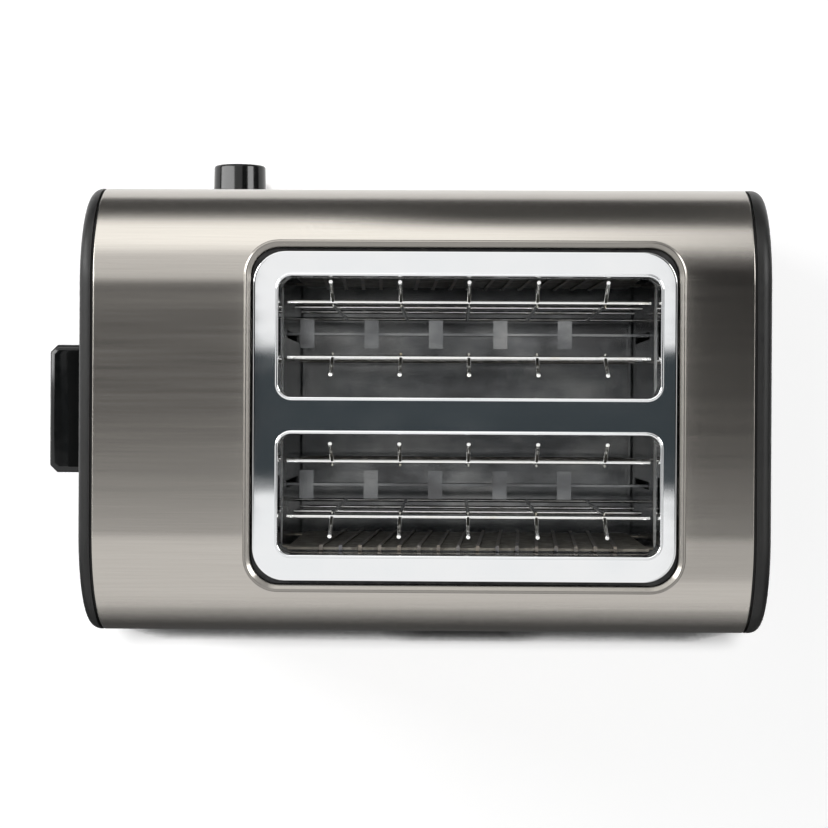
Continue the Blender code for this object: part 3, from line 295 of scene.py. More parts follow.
def grain(tree, scale, stretch=(1, 1, 1), detail=3, turn=(0, 0, 0)):
    """Noise in the object's own metres. Stretch multiplies the pattern's fineness on each axis."""
    place = add(tree, "TexCoord")
    mapping = add(tree, "Mapping")
    mapping.inputs["Scale"].default_value = stretch
    mapping.inputs["Rotation"].default_value = turn
    noise = add(tree, "TexNoise")
    noise.inputs["Scale"].default_value = scale
    noise.inputs["Detail"].default_value = detail
    tree.links.new(place.outputs["Object"], mapping.inputs["Vector"])
    tree.links.new(mapping.outputs["Vector"], noise.inputs["Vector"])
    return noise.outputs["Fac"]


def flakes(tree, scale, stretch=(1, 1, 1)):
    """Cells in the object's own metres, each of one shade."""
    place = add(tree, "TexCoord")
    mapping = add(tree, "Mapping")
    mapping.inputs["Scale"].default_value = stretch
    cells = add(tree, "TexVoronoi")
    cells.inputs["Scale"].default_value = scale
    shade = add(tree, "SeparateColor")
    tree.links.new(place.outputs["Object"], mapping.inputs["Vector"])
    tree.links.new(mapping.outputs["Vector"], cells.inputs["Vector"])
    tree.links.new(cells.outputs["Color"], shade.inputs["Color"])
    return shade.outputs["Red"]


def spread(tree, source, start, end, low=0, high=1, kind="LINEAR"):
    """The source's values from start to end, spread from low to high."""
    ramp = add(tree, "MapRange")
    ramp.interpolation_type = kind
    for name, value in (("From Min", start), ("From Max", end), ("To Min", low), ("To Max", high)):
        ramp.inputs[name].default_value = value
    tree.links.new(source, ramp.inputs["Value"])
    return ramp.outputs["Result"]


def shades(tree, source, stops):
    """Colours along the source's values; stops are (value, colour)."""
    ramp = add(tree, "ValToRGB")
    points = ramp.color_ramp.elements
    while len(points) < len(stops):
        points.new(0.5)
    for point, (value, colour) in zip(points, stops):
        point.position = value
        point.color = (*colour, 1)
    tree.links.new(source, ramp.inputs["Fac"])
    return ramp.outputs["Color"]


def colour_by(tree, shader, source, stops):
    """Colours the surface along a source."""
    tree.links.new(shades(tree, source, stops), shader.inputs["Base Color"])


def gloss_by(tree, shader, source, low, high, start=0.3, end=0.7):
    """Varies the roughness along a source."""
    tree.links.new(spread(tree, source, start, end, low, high), shader.inputs["Roughness"])


def compute(tree, operation, first, second):
    """A Math node's result. The second value is a number or another node's output."""
    node = add(tree, "Math", operation)
    tree.links.new(first, node.inputs[0])
    if isinstance(second, (int, float)):
        node.inputs[1].default_value = second
    else:
        tree.links.new(second, node.inputs[1])
    return node.outputs[0]


def roughen(tree, shader, height, strength, depth):
    """Bumps the surface along a source."""
    bump = add(tree, "Bump")
    bump.inputs["Strength"].default_value = strength
    bump.inputs["Distance"].default_value = depth
    tree.links.new(height, bump.inputs["Height"])
    tree.links.new(bump.outputs["Normal"], shader.inputs["Normal"])


def brushed_steel(name, shade):
    """Warm grey steel with a fine grain drawn along X; shade darkens it, which makes a copy with painted
    shade.
    """
    made, tree, shader = paint_kit(name, (0.49 * shade, 0.46 * shade, 0.42 * shade), 1, 0.124)
    fine = grain(tree, 1, (22, 2300, 2300), 4)
    broad = grain(tree, 1, (6, 300, 300), 2)
    dark = (0.468 * shade, 0.441 * shade, 0.404 * shade)
    light = (0.512 * shade, 0.485 * shade, 0.446 * shade)
    colour_by(tree, shader, fine, [(0.25, dark), (0.75, light)])
    gloss_by(tree, shader, broad, 0.115, 0.132)
    shader.inputs["Anisotropic"].default_value = 1
    tangent = add(tree, "Tangent")
    tangent.direction_type = "UV_MAP"
    tangent.uv_map = "across_grain"
    tree.links.new(tangent.outputs["Tangent"], shader.inputs["Tangent"])
    roughen(tree, shader, fine, 0.10, 0.00002)
    return made


def chrome():
    """Bright plating with faint wipe marks in its gloss."""
    made, tree, shader = paint_kit("chrome", (0.84, 0.85, 0.86), 1, 0.05)
    wipe = grain(tree, 1, (30, 90, 60), 3, (0, 0, math.radians(24)))
    gloss_by(tree, shader, wipe, 0.03, 0.075)
    colour_by(tree, shader, grain(tree, 45), [(0.3, (0.82, 0.835, 0.845)), (0.7, (0.85, 0.855, 0.86))])
    return made


def cap_grey():
    """Dark grey moulded plastic with a fine spark-eroded texture."""
    made, tree, shader = paint_kit("cap_grey", (0.011, 0.011, 0.011), 0, 0.42)
    shader.inputs["IOR"].default_value = 1.36
    pebble = grain(tree, 2600, detail=2)
    colour_by(tree, shader, grain(tree, 55), [(0.3, (0.009, 0.009, 0.009)), (0.7, (0.013, 0.013, 0.0125))])
    gloss_by(tree, shader, grain(tree, 380, detail=4), 0.36, 0.46)
    roughen(tree, shader, pebble, 0.18, 0.00006)
    return made


def gloss_black():
    """Polished black plastic."""
    made, tree, shader = paint_kit("gloss_black", (0.003, 0.0034, 0.0034), 0, 0.12)
    shader.inputs["IOR"].default_value = 1.48
    gloss_by(tree, shader, grain(tree, 260, detail=4), 0.10, 0.16)
    stops = [(0.3, (0.0022, 0.0026, 0.0026)), (0.7, (0.0038, 0.0042, 0.0042))]
    colour_by(tree, shader, grain(tree, 90), stops)
    roughen(tree, shader, grain(tree, 420, detail=1), 0.04, 0.00004)
    return made


def zinc_plate():
    """Zinc-plated steel sheet, browned and bleached by the heat in broad patches."""
    made, tree, shader = paint_kit("zinc_plate", (0.29, 0.295, 0.295), 1, 0.20)
    colour_by(
        tree,
        shader,
        grain(tree, 34, (1, 1.6, 1), 4),
        [
            (0.34, (0.16, 0.16, 0.163)),
            (0.46, (0.235, 0.24, 0.245)),
            (0.54, (0.295, 0.30, 0.30)),
            (0.66, (0.38, 0.38, 0.377)),
        ],
    )
    gloss_by(tree, shader, grain(tree, 1, (60, 60, 700), 3), 0.15, 0.25)
    roughen(tree, shader, grain(tree, 900, detail=3), 0.10, 0.00005)
    return made


def nickel_wire():
    """Nickel-plated wire, faintly straw-coloured in patches by the heat."""
    made, tree, shader = paint_kit("nickel_wire", (0.88, 0.88, 0.87), 1, 0.10)
    stops = [(0.35, (0.89, 0.89, 0.88)), (0.6, (0.87, 0.865, 0.84)), (0.8, (0.82, 0.79, 0.72))]
    colour_by(tree, shader, grain(tree, 120), stops)
    gloss_by(tree, shader, grain(tree, 500), 0.08, 0.15)
    roughen(tree, shader, grain(tree, 1600, detail=2), 0.08, 0.00003)
    return made


def mica():
    """Pressed mica board: pearly flakes of tan and grey."""
    made, tree, shader = paint_kit("mica", (0.13, 0.12, 0.10), 0, 0.42)
    colour_by(
        tree,
        shader,
        flakes(tree, 420, (1, 0.5, 1)),
        [(0.0, (0.085, 0.078, 0.066)), (0.5, (0.13, 0.12, 0.10)), (1.0, (0.18, 0.17, 0.145))],
    )
    gloss_by(tree, shader, flakes(tree, 300), 0.30, 0.55, 0, 1)
    roughen(tree, shader, grain(tree, 700, detail=4), 0.25, 0.0001)
    return made


def heater_ribbon():
    """Resistance ribbon, dulled and blued by heat."""
    made, tree, shader = paint_kit("heater_ribbon", (0.30, 0.28, 0.26), 1, 0.36)
    stops = [(0.3, (0.20, 0.21, 0.24)), (0.5, (0.31, 0.29, 0.27)), (0.7, (0.40, 0.35, 0.29))]
    colour_by(tree, shader, grain(tree, 160), stops)
    gloss_by(tree, shader, grain(tree, 900), 0.28, 0.46)
    return made


def rubber():
    """Matt black rubber with a little dust in it."""
    made, tree, shader = paint_kit("rubber", (0.024, 0.024, 0.025), 0, 0.72)
    stops = [(0.4, (0.020, 0.020, 0.021)), (0.8, (0.045, 0.044, 0.042))]
    colour_by(tree, shader, grain(tree, 240, detail=5), stops)
    gloss_by(tree, shader, grain(tree, 800), 0.62, 0.84)
    roughen(tree, shader, grain(tree, 1500, detail=3), 0.2, 0.0001)
    return made


def board():
    """Circuit laminate: green lacquer over copper tracks that run up and down."""
    made, tree, shader = paint_kit("board", (0.05, 0.16, 0.06), 0, 0.32)
    tracks = grain(tree, 1, (420, 1, 40), 0)
    bare = (0.035, 0.12, 0.045)
    track = (0.085, 0.22, 0.075)
    colour_by(tree, shader, tracks, [(0.44, bare), (0.47, track), (0.53, track), (0.56, bare)])
    roughen(tree, shader, tracks, 0.15, 0.0001)
    return made


def coil_tape():
    """Amber tape wound over the magnet's wire, in level turns."""
    made, tree, shader = paint_kit("coil_tape", (0.50, 0.24, 0.05), 0, 0.35)
    turns = grain(tree, 1, (4, 4, 900), 1)
    colour_by(tree, shader, turns, [(0.35, (0.38, 0.16, 0.03)), (0.65, (0.60, 0.31, 0.08))])
    roughen(tree, shader, turns, 0.3, 0.0001)
    return made


def satin_sheet():
    """Bright-dipped sheet with a soft, milky gloss and fine rolling lines."""
    made, tree, shader = paint_kit("satin_sheet", (0.90, 0.91, 0.91), 0, 0.42)
    lines = grain(tree, 1, (60, 60, 900), 3)
    colour_by(tree, shader, lines, [(0.3, (0.87, 0.88, 0.88)), (0.7, (0.93, 0.94, 0.935))])
    gloss_by(tree, shader, lines, 0.36, 0.48)
    return made


def pale_plastic():
    """Off-white moulded plastic, a little uneven in its gloss."""
    made, tree, shader = paint_kit("pale_plastic", (0.68, 0.66, 0.60), 0, 0.45)
    colour_by(tree, shader, grain(tree, 80), [(0.3, (0.64, 0.62, 0.56)), (0.7, (0.72, 0.70, 0.65))])
    gloss_by(tree, shader, grain(tree, 500), 0.38, 0.52)
    return made


FINISHES = {
    "brushed_steel": brushed_steel("brushed_steel", 1),
    "chrome": chrome(),
    "cap_grey": cap_grey(),
    "gloss_black": gloss_black(),
    "zinc_plate": zinc_plate(),
    "nickel_wire": nickel_wire(),
    "mica": mica(),
    "heater_ribbon": heater_ribbon(),
    "rubber": rubber(),
    "board": board(),
    "coil_tape": coil_tape(),
    "pale_plastic": pale_plastic(),
}
SATIN_SHEET = satin_sheet()
# The collar's steel: the wrap's steel darkened, a painted shade, since the collar is the same steel
COLLAR_STEEL_PAINTED_SHADE = brushed_steel("collar_steel_painted_shade", 0.58)


def finish_frame_nodes():
    """The rigid CAD nodes that stay get the finish of their own material slot."""
    for node in frame["nodes"].values():
        for slot in node.material_slots:
            slot.material = FINISHES[slot.material.name.split(".")[0]]


def panel(size, radius, steps, place=Matrix()):
    """One flat face, facing up before it is placed, with its corners rounded."""
    bm = bmesh.new()
    bmesh.ops.create_grid(bm, x_segments=1, y_segments=1, size=0.5)
    bmesh.ops.scale(bm, vec=(size[0], size[1], 1), verts=bm.verts)
    bevel(bm, bm.verts[:], radius, "VERTICES", steps)
    bmesh.ops.transform(bm, matrix=place, verts=bm.verts)
    bm.normal_update()
    return bm


def bevel(bm, geom, offset, affect, steps):
    """Rounds corners or edges with an even arc."""
    bmesh.ops.bevel(
        bm,
        geom=geom,
        offset=offset,
        offset_type="OFFSET",
        affect=affect,
        segments=steps,
        profile=0.5,
        material=-1,
    )


def only_face(bm):
    """The one face of a fresh panel."""
    bm.faces.ensure_lookup_table()
    return bm.faces[0]


def step_in(bm, face, inward, rise=0):
    """A ring inside the face, and the face's rise along its normal."""
    bmesh.ops.inset_region(
        bm, faces=[face], thickness=inward, depth=rise, use_boundary=True, use_even_offset=True
    )


def follow(bm, face, profile, way=1):
    """Insets the face along a profile of (distance, height); way -1 mirrors its distances."""
    for near, far in zip(profile, profile[1:]):
        step_in(bm, face, way * (far[0] - near[0]), far[1] - near[1])


def only(geom, kind):
    """The vertices, edges or faces among what an operator returns."""
    return [part for part in geom if isinstance(part, kind)]


def remove(bm, faces, context="FACES"):
    """Deletes faces; with FACES_ONLY their edges stay."""
    bmesh.ops.delete(bm, geom=faces, context=context)


def block(centre, size):
    """A plain box, to be shaped or to cut with."""
    bm = bmesh.new()
    bmesh.ops.create_cube(bm, size=1)
    bmesh.ops.scale(bm, vec=size, verts=bm.verts)
    bmesh.ops.translate(bm, vec=centre, verts=bm.verts)
    return bm


def pull(bm, face, travel):
    """Draws one flat face out by travel, leaves its old place open and returns the moved one."""
    drawn = bmesh.ops.extrude_face_region(bm, geom=[face])["geom"]
    bmesh.ops.translate(bm, vec=travel, verts=only(drawn, bmesh.types.BMVert))
    moved = only(drawn, bmesh.types.BMFace)
    if face.is_valid:
        remove(bm, [face], "FACES_ONLY")
    return max(moved, key=lambda f: f.calc_center_median().dot(Vector(travel)))


def pull_edges(bm, edges, travel):
    """Extrudes an edge chain by travel and returns the moved edges."""
    drawn = bmesh.ops.extrude_edge_only(bm, edges=edges)["geom"]
    bmesh.ops.translate(bm, vec=travel, verts=only(drawn, bmesh.types.BMVert))
    return only(drawn, bmesh.types.BMEdge)


def face_out(bm, direction):
    """Turns an open skin so that its farthest face that way looks that way."""
    bmesh.ops.recalc_face_normals(bm, faces=bm.faces)
    bm.normal_update()
    way = Vector(direction)
    facing = [f for f in bm.faces if abs(f.normal.dot(way)) > FACING]
    outer = max(facing, key=lambda f: f.calc_center_median().dot(way))
    if outer.normal.dot(way) < 0:
        bmesh.ops.reverse_faces(bm, faces=bm.faces)
        bm.normal_update()


def slice_at(bm, point, normal, geom=None):
    """Cuts edges into the mesh along a plane."""
    if geom is None:
        geom = bm.verts[:] + bm.edges[:] + bm.faces[:]
    bmesh.ops.bisect_plane(bm, geom=geom, dist=CUT_TOUCH, plane_co=point, plane_no=normal)


def turned(profile, place, sides=ROUND_SIDES):
    """A turned form: profile is a chain of (radius, height) spun about Z, then placed."""
    bm = bmesh.new()
    points = [bm.verts.new((radius, 0, height)) for radius, height in profile]
    chain = [bm.edges.new(pair) for pair in zip(points, points[1:])]
    bmesh.ops.spin(
        bm,
        geom=points + chain,
        cent=(0, 0, 0),
        axis=(0, 0, 1),
        angle=2 * math.pi,
        steps=sides,
        use_merge=True,
    )
    bmesh.ops.remove_doubles(bm, verts=bm.verts, dist=TOUCH)
    bmesh.ops.recalc_face_normals(bm, faces=bm.faces)
    bmesh.ops.transform(bm, matrix=place, verts=bm.verts)
    return bm


def round_corner(centre, radius, start, end, steps):
    """Points of an arc in a profile, from angle start to end in degrees."""
    points = []
    for step in range(steps + 1):
        turn = math.radians(start + (end - start) * step / steps)
        points.append((centre[0] + radius * math.cos(turn), centre[1] + radius * math.sin(turn)))
    return points


def join(parts):
    """Several bmeshes as one."""
    whole = bmesh.new()
    for part in parts:
        copy = bpy.data.meshes.new("copy")
        part.to_mesh(copy)
        part.free()
        whole.from_mesh(copy)
        bpy.data.meshes.remove(copy)
    return whole


def mesh_of(name, bm):
    """The bmesh as a mesh; the bmesh is done with."""
    mesh = bpy.data.meshes.new(name)
    bm.to_mesh(mesh)
    bm.free()
    return mesh


def set_out(name, data):
    """A new object in the scene."""
    made = bpy.data.objects.new(name, data)
    bpy.context.scene.collection.objects.link(made)
    return made


def make_piece(name, bm, finish, body, nodes, sharp_deg=35, look=None):
    """A finished piece: its material, its shading, the body it rides on and the nodes it stands for."""
    mesh = mesh_of(name, bm)
    mesh.materials.append(look or FINISHES[finish])
    mesh.shade_smooth()
    mesh.set_sharp_from_angle(angle=math.radians(sharp_deg))
    piece = set_out(name, mesh)
    if body:
        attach(piece, body)
    if nodes:
        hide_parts(*nodes)
    return piece


def give_wall(bm, thickness):
    """Gives an open skin its thickness, on the side away from its normals."""
    bmesh.ops.solidify(bm, geom=bm.faces[:], thickness=thickness)
    bm.normal_update()


def soften(piece, width, steps=3):
    """Rounds a piece's sharp edges as it is rendered."""
    edge = piece.modifiers.new("soft edge", "BEVEL")
    edge.width = width
    edge.segments = steps
    edge.limit_method = "ANGLE"
    edge.angle_limit = math.radians(SOFT_ANGLE_DEG)
    edge.harden_normals = True


def wrap_height(y):
    """The height of the wrap's outer face at y, over the flat top and the shoulders."""
    beyond = max(abs(y - MIDDLE_Y) - FLAT_Y, 0)
    return FLAT_Z + math.sqrt(max(SHOULDER_R**2 - beyond**2, 0))


def across_grain(point):
    """How far round the wrap a point lies, from the middle of its top."""
    off = point.y - MIDDLE_Y
    side = 1 if off > 0 else -1
    beyond = abs(off) - FLAT_Y
    if point.z < FLAT_Z:
        return side * (FLAT_Y + SHOULDER_R * math.pi / 2 + FLAT_Z - point.z)
    if beyond > 0:
        return side * (FLAT_Y + SHOULDER_R * math.atan2(beyond, point.z - FLAT_Z))
    return off


def lay_grain(bm):
    """A UV map whose U runs across the brush lines, for the gloss to follow."""
    layer = bm.loops.layers.uv.new("across_grain")
    for face in bm.faces:
        for corner in face.loops:
            corner[layer].uv = (across_grain(corner.vert.co), corner.vert.co.x)
    return bm


def body_outline(x, inset=0.0, heel=SHEET):
    """The body's outline across X as one face: a rectangle, its upper corners bent round."""
    low = WRAP_LOW.z + inset
    size = (2 * (HALF_DEPTH - inset), BODY_TOP - low - inset)
    bm = bmesh.new()
    bmesh.ops.create_grid(bm, x_segments=1, y_segments=1, size=0.5)
    bmesh.ops.scale(bm, vec=(size[0], size[1], 1), verts=bm.verts)
    upper = [v for v in bm.verts if v.co.y > 0]
    lower = [v for v in bm.verts if v.co.y < 0]
    bevel(bm, upper, SHOULDER_R - inset, "VERTICES", SHOULDER_STEPS)
    bevel(bm, lower, heel, "VERTICES", CORNER_STEPS)
    stand = Matrix(((0, 0, 1, x), (1, 0, 0, MIDDLE_Y), (0, 1, 0, low + size[1] / 2), (0, 0, 0, 1)))
    bmesh.ops.transform(bm, matrix=stand, verts=bm.verts)
    bm.normal_update()
    return bm


def closed_loop(bm, points):
    """New edges through the points and back to the first."""
    verts = [bm.verts.new(point) for point in points]
    return [bm.edges.new(pair) for pair in zip(verts, verts[1:] + verts[:1])]


def wall_with_holes(bm, y, loops):
    """Swaps the flat wall at y for one with holes; loops are lists of (x, z)."""
    wall = max(
        (f for f in bm.faces if abs(f.calc_center_median().y - y) < ON_WALL), key=lambda f: f.calc_area()
    )
    rim = wall.edges[:]
    outward = wall.normal.copy()
    remove(bm, [wall], "FACES_ONLY")
    for loop in loops:
        rim += closed_loop(bm, [(x, y, z) for x, z in loop])
    filled = bmesh.ops.triangle_fill(bm, edges=rim, use_beauty=True, use_dissolve=False)["geom"]
    bm.normal_update()
    for face in filled:
        if isinstance(face, bmesh.types.BMFace) and face.normal.dot(outward) < 0:
            face.normal_flip()


def circle(x, z, radius):
    """Points round a hole in a wall."""
    turns = [2 * math.pi * side / ROUND_SIDES for side in range(ROUND_SIDES)]
    return [(x + radius * math.cos(turn), z + radius * math.sin(turn)) for turn in turns]


def box_of(node):
    """A node's lowest and highest corners, and its centre."""
    low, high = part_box(node)
    return low, high, (low + high) / 2


def wrap():
    """The steel sheet over front, top and back, with its openings and its turned-in flanges."""
    bm = body_outline(WRAP_LOW.x)
    outline = only_face(bm)
    low_edge = min(outline.edges, key=lambda e: e.verts[0].co.z + e.verts[1].co.z)
    edges = [e for e in outline.edges if e != low_edge]
    remove(bm, [outline], "FACES_ONLY")
    bmesh.ops.delete(bm, geom=[low_edge], context="EDGES")
    pull_edges(bm, edges, (WRAP_HIGH.x - WRAP_LOW.x, 0, 0))
    open_lines = [e for e in bm.edges if len(e.link_faces) == 1]
    low_lines = [e for e in open_lines if abs(e.verts[0].co.z - WRAP_LOW.z) < TOUCH]
    long_lines = [e for e in low_lines if abs(e.verts[0].co.x - e.verts[1].co.x) > SHEET]
    for line in long_lines:
        side = 1 if line.verts[0].co.y < MIDDLE_Y else -1
        pull_edges(bm, [line], (0, side * (FLANGE - SHEET), 0))
    for share in (-1, 1):
        slice_at(bm, (0, MIDDLE_Y + share * (FLAT_Y - MM), 0), (0, 1, 0))
    slice_at(bm, (0, 0, FLAT_Z - MM), (0, 0, 1))
    for end in (WRAP_LOW.x + MM, WRAP_HIGH.x - MM):
        slice_at(bm, (end, 0, 0), (1, 0, 0))
    face_out(bm, (0, 0, 1))
    pierce_walls(bm)
    open_top(bm)
    give_wall(bm, SHEET)
    ends = [e for e in bm.edges if all(abs(v.co.x - WRAP_LOW.x) < SOFT_EDGE for v in e.verts)]
    ends += [e for e in bm.edges if all(abs(v.co.x - WRAP_HIGH.x) < SOFT_EDGE for v in e.verts)]
    bevel(bm, [e for e in ends if is_outer_rim(e)], SHEET_EDGE, "EDGES", RIM_STEPS)
    return make_piece("wrap", lay_grain(bm), "brushed_steel", "body", ["wrap_shell"], sharp_deg=50)


def pierce_walls(bm):
    """The holes for the knob's shaft and the buttons, and those for the gland and the crumb tray."""
    knob = box_of("browning_knob")[2]
    front = [circle(knob.x, knob.z, SHAFT_HOLE_R)]
    for button in ("cancel_button", "defrost_button", "reheat_button"):
        place = box_of(button)[2]
        front.append(circle(place.x, place.z, BUTTON_R + BUTTON_GAP))
    wall_with_holes(bm, WRAP_LOW.y, front)
    gland = box_of("cord_gland")[2]
    tray_low, tray_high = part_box("crumb_tray")
    door = [
        (tray_low.x - DOOR_MARGIN, tray_low.z - DOOR_MARGIN),
        (tray_high.x + DOOR_MARGIN, tray_low.z - DOOR_MARGIN),
        (tray_high.x + DOOR_MARGIN, tray_high.z + DOOR_MARGIN),
        (tray_low.x - DOOR_MARGIN, tray_high.z + DOOR_MARGIN),
    ]
    wall_with_holes(bm, WRAP_HIGH.y, [circle(gland.x, gland.z, GLAND_R), door])


def open_top(bm):
    """Cuts the top away under the collar, its corners cut across."""
    low, high = collar_box()
    margin = Vector((COLLAR_MARGIN, COLLAR_MARGIN, 0))
    centre = (low + high) / 2
    half = (high - low) / 2 - margin
    for point in (low + margin, high - margin):
        slice_at(bm, point, (1, 0, 0))
        slice_at(bm, point, (0, 1, 0))
    diagonal = half.x + half.y - (COLLAR_CORNER - 2 * COLLAR_MARGIN)
    for side_x in (-1, 1):
        for side_y in (-1, 1):
            slice_at(bm, centre + Vector((side_x * diagonal, 0, 0)), (side_x, side_y, 0))
    hole = []
    for face in bm.faces:
        off = face.calc_center_median() - centre
        inside = abs(off.x) < half.x and abs(off.y) < half.y and abs(off.x) + abs(off.y) < diagonal
        if inside and face.normal.z > 0.5:
            hole.append(face)
    remove(bm, hole)


def is_outer_rim(edge):
    """Whether an edge runs along the outer side of the wrap's bent section, above its flanges."""
    for vert in edge.verts:
        if vert.co.z < WRAP_LOW.z + HEEL_R:
            return False
        if vert.co.z < FLAT_Z:
            if abs(abs(vert.co.y - MIDDLE_Y) - HALF_DEPTH) > SOFT_EDGE:
                return False
        elif abs(vert.co.z - wrap_height(vert.co.y)) > SOFT_EDGE:
            return False
    return True


def plate_box():
    """The slot plate's corners, its front edge drawn in a little to open the gap."""
    low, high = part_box("slot_plate")
    return low + Vector((0, PLATE_TRIM, 0)), high


def collar_box():
    """The collar's outer corners, which stand round the slot plate by a wall and a gap."""
    low, high = plate_box()
    reach = Vector((COLLAR_GAP_X + COLLAR_WALL, COLLAR_GAP_Y + COLLAR_WALL, 0))
    return low - reach, high + reach


def collar():
    """The raised bead round the slot plate: a steep outer side, a round crest, a slope and a drop."""
    low, high = collar_box()
    centre = (low + high) / 2
    lean = math.radians(COLLAR_BROW_DEG)
    brow = (COLLAR_BROW * math.cos(lean), COLLAR_BROW * math.sin(lean))
    place = Matrix.Translation((centre.x, centre.y, WRAP_HIGH.z - COLLAR_CREST - brow[1]))
    bm = panel((high.x - low.x, high.y - low.y), COLLAR_R, CORNER_STEPS, place)
    face = only_face(bm)
    step_in(bm, face, HAIR)
    foot = [vert for vert in bm.verts if vert not in set(face.verts)]
    turn = 90 + COLLAR_BROW_DEG
    profile = round_corner((COLLAR_CREST, 0), COLLAR_CREST, 180, turn, EDGE_STEPS)
    profile += round_corner((COLLAR_CREST + brow[0], brow[1]), COLLAR_CREST, turn, 60, EDGE_STEPS)
    profile.append((COLLAR_WALL - SOFT_EDGE, -COLLAR_SLOPE))
    profile.append((COLLAR_WALL - SOFT_EDGE / 4, -COLLAR_SLOPE - SOFT_EDGE / 2))
    profile.append((COLLAR_WALL, -COLLAR_SLOPE - 2 * SOFT_EDGE))
    follow(bm, face, profile)
    face = pull(bm, face, (0, 0, COLLAR_SLOPE + 2 * SOFT_EDGE - COLLAR_DEPTH))
    remove(bm, [face])
    for vert in foot:
        vert.co.z = wrap_height(vert.co.y) - SOFT_EDGE
    bm.normal_update()
    # The collar takes the darkened copy of the steel, a painted shade
    return make_piece(
        "collar", lay_grain(bm), "brushed_steel", "body", ["wrap_shell"], sharp_deg=50, look=COLLAR_STEEL_PAINTED_SHADE
    )


def collar_gap_painted_shade():
    """A dark rubber strip at the bottom of the gap between the collar and the slot plate, a painted shade
    where the gap would show only shade.
    """
    low, high = collar_box()
    centre = (low + high) / 2
    size = (high.x - low.x - 2 * COLLAR_CREST, high.y - low.y - 2 * COLLAR_CREST)
    place = Matrix.Translation((centre.x, centre.y, WRAP_HIGH.z - COLLAR_DEPTH))
    bm = panel(size, COLLAR_R - COLLAR_CREST, CORNER_STEPS, place)
    face = only_face(bm)
    step_in(bm, face, COLLAR_WALL + COLLAR_GAP_Y + PAINTED_SHADE_STRIP_REACH - COLLAR_CREST)
    remove(bm, [face])
    give_wall(bm, SHEET)
    return make_piece("collar_gap_painted_shade", bm, "rubber", "body", ["wrap_shell"], sharp_deg=40)


def end_cap(node, side):
    """A moulded cap: a band that continues the wrap, a rounded edge and a flat end."""
    low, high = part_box(node)
    end = high.x if side > 0 else low.x
    seam = WRAP_HIGH.x + SEAM_GAP if side > 0 else WRAP_LOW.x - SEAM_GAP
    bm = body_outline(seam, heel=HEEL_R)
    base = only_face(bm)
    if base.normal.x * side < 0:
        base.normal_flip()
    step_in(bm, base, SEAM_DEPTH)
    remove(bm, [f for f in bm.faces if f != base])
    face = pull(bm, base, (side * SEAM_WIDTH, 0, 0))
    step_in(bm, face, -SEAM_DEPTH)
    face = pull(bm, face, (end - side * CAP_EDGE_R - seam - side * SEAM_WIDTH, 0, 0))
    follow(bm, face, round_corner((0, 0), CAP_EDGE_R, 0, 90, CORNER_STEPS), -1)
    step_in(bm, face, MM)
    if side > 0:
        cut_lever_window(bm, face, end)
    face_out(bm, (side, 0, 0))
    give_wall(bm, CAP_WALL)
    return make_piece(node + "_shell", bm, "cap_grey", "body", [node], sharp_deg=40)


def cut_lever_window(bm, face, end):
    """The tall slot in the end face that the lever's arm moves in, with rounded ends."""
    arm = box_of("lever_knob")[2]
    travel = next(j for j in frame["joints"] if j["name"] == "carriage_slide")["range_m"][1]
    width = LEVER_SLOT_WIDTH
    centre_z = arm.z - travel / 2
    height = travel + 2 * (LEVER_ARM_HALF + LEVER_SLOT_SPARE)
    rim = face.edges[:]
    remove(bm, [face], "FACES_ONLY")
    ring = []
    half = height / 2 - width / 2
    for lean, middle in ((0, centre_z + half), (math.pi, centre_z - half)):
        for step in range(CORNER_STEPS + 1):
            turn = lean + math.pi * step / CORNER_STEPS
            ring.append((end, arm.y + width / 2 * math.cos(turn), middle + width / 2 * math.sin(turn)))
    rim += closed_loop(bm, ring)
    bmesh.ops.triangle_fill(bm, edges=rim, use_beauty=True, use_dissolve=False)


def slot_plate():
    """The chrome plate: a flat sheet, a rolled lip round each slot, and skirts with notched ends."""
    low, high = plate_box()
    centre = (low + high) / 2
    place = Matrix.Translation((centre.x, centre.y, BODY_TOP))
    sheet = panel((high.x - low.x, high.y - low.y), PLATE_R, CORNER_STEPS, place)
    face = only_face(sheet)
    follow(sheet, face, round_corner((0, 0), PLATE_EDGE, 0, 90, SMALL_STEPS), -1)
    step_in(sheet, face, PLATE_EDGE)
    bmesh.ops.translate(sheet, vec=(0, 0, -PLATE_EDGE), verts=sheet.verts)
    remove(sheet, [face], "FACES_ONLY")
    lips = [slot_lip(*slot) for slot in slot_boxes()]
    bm = join([sheet] + lips)
    rims = [e for e in bm.edges if len(e.link_faces) == 1 and is_flat_rim(e, low, high)]
    bmesh.ops.triangle_fill(bm, edges=rims, use_beauty=True, use_dissolve=False, normal=(0, 0, 1))
    face_out(bm, (0, 0, 1))
    give_wall(bm, PLATE_SHEET)
    return make_piece("slot_plate_chrome", bm, "chrome", "body", ["slot_plate"], sharp_deg=60)


def is_flat_rim(edge, low, high):
    """Whether an open edge lies on the plate's flat top, in from its outer edge."""
    for vert in edge.verts:
        inside = low.x + SOFT_EDGE < vert.co.x < high.x - SOFT_EDGE
        inside = inside and low.y + SOFT_EDGE < vert.co.y < high.y - SOFT_EDGE
        if not inside or abs(vert.co.z - BODY_TOP) > TOUCH:
            return False
    return True


def slot_boxes():
    """Each slot's centre and size, worked out from the plate and the chamber's end plates."""
    low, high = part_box("slot_plate")
    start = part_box("chamber_end_plate_plain_side")[1].x + MM
    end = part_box("chamber_end_plate_lever_side")[0].x - MM
    middle = (low.y + high.y) / 2
    slots = []
    for side in (-1, 1):
        slots.append(((start + end) / 2, middle + side * SLOT_PITCH / 2, end - start, SLOT_WIDTH))
    return slots


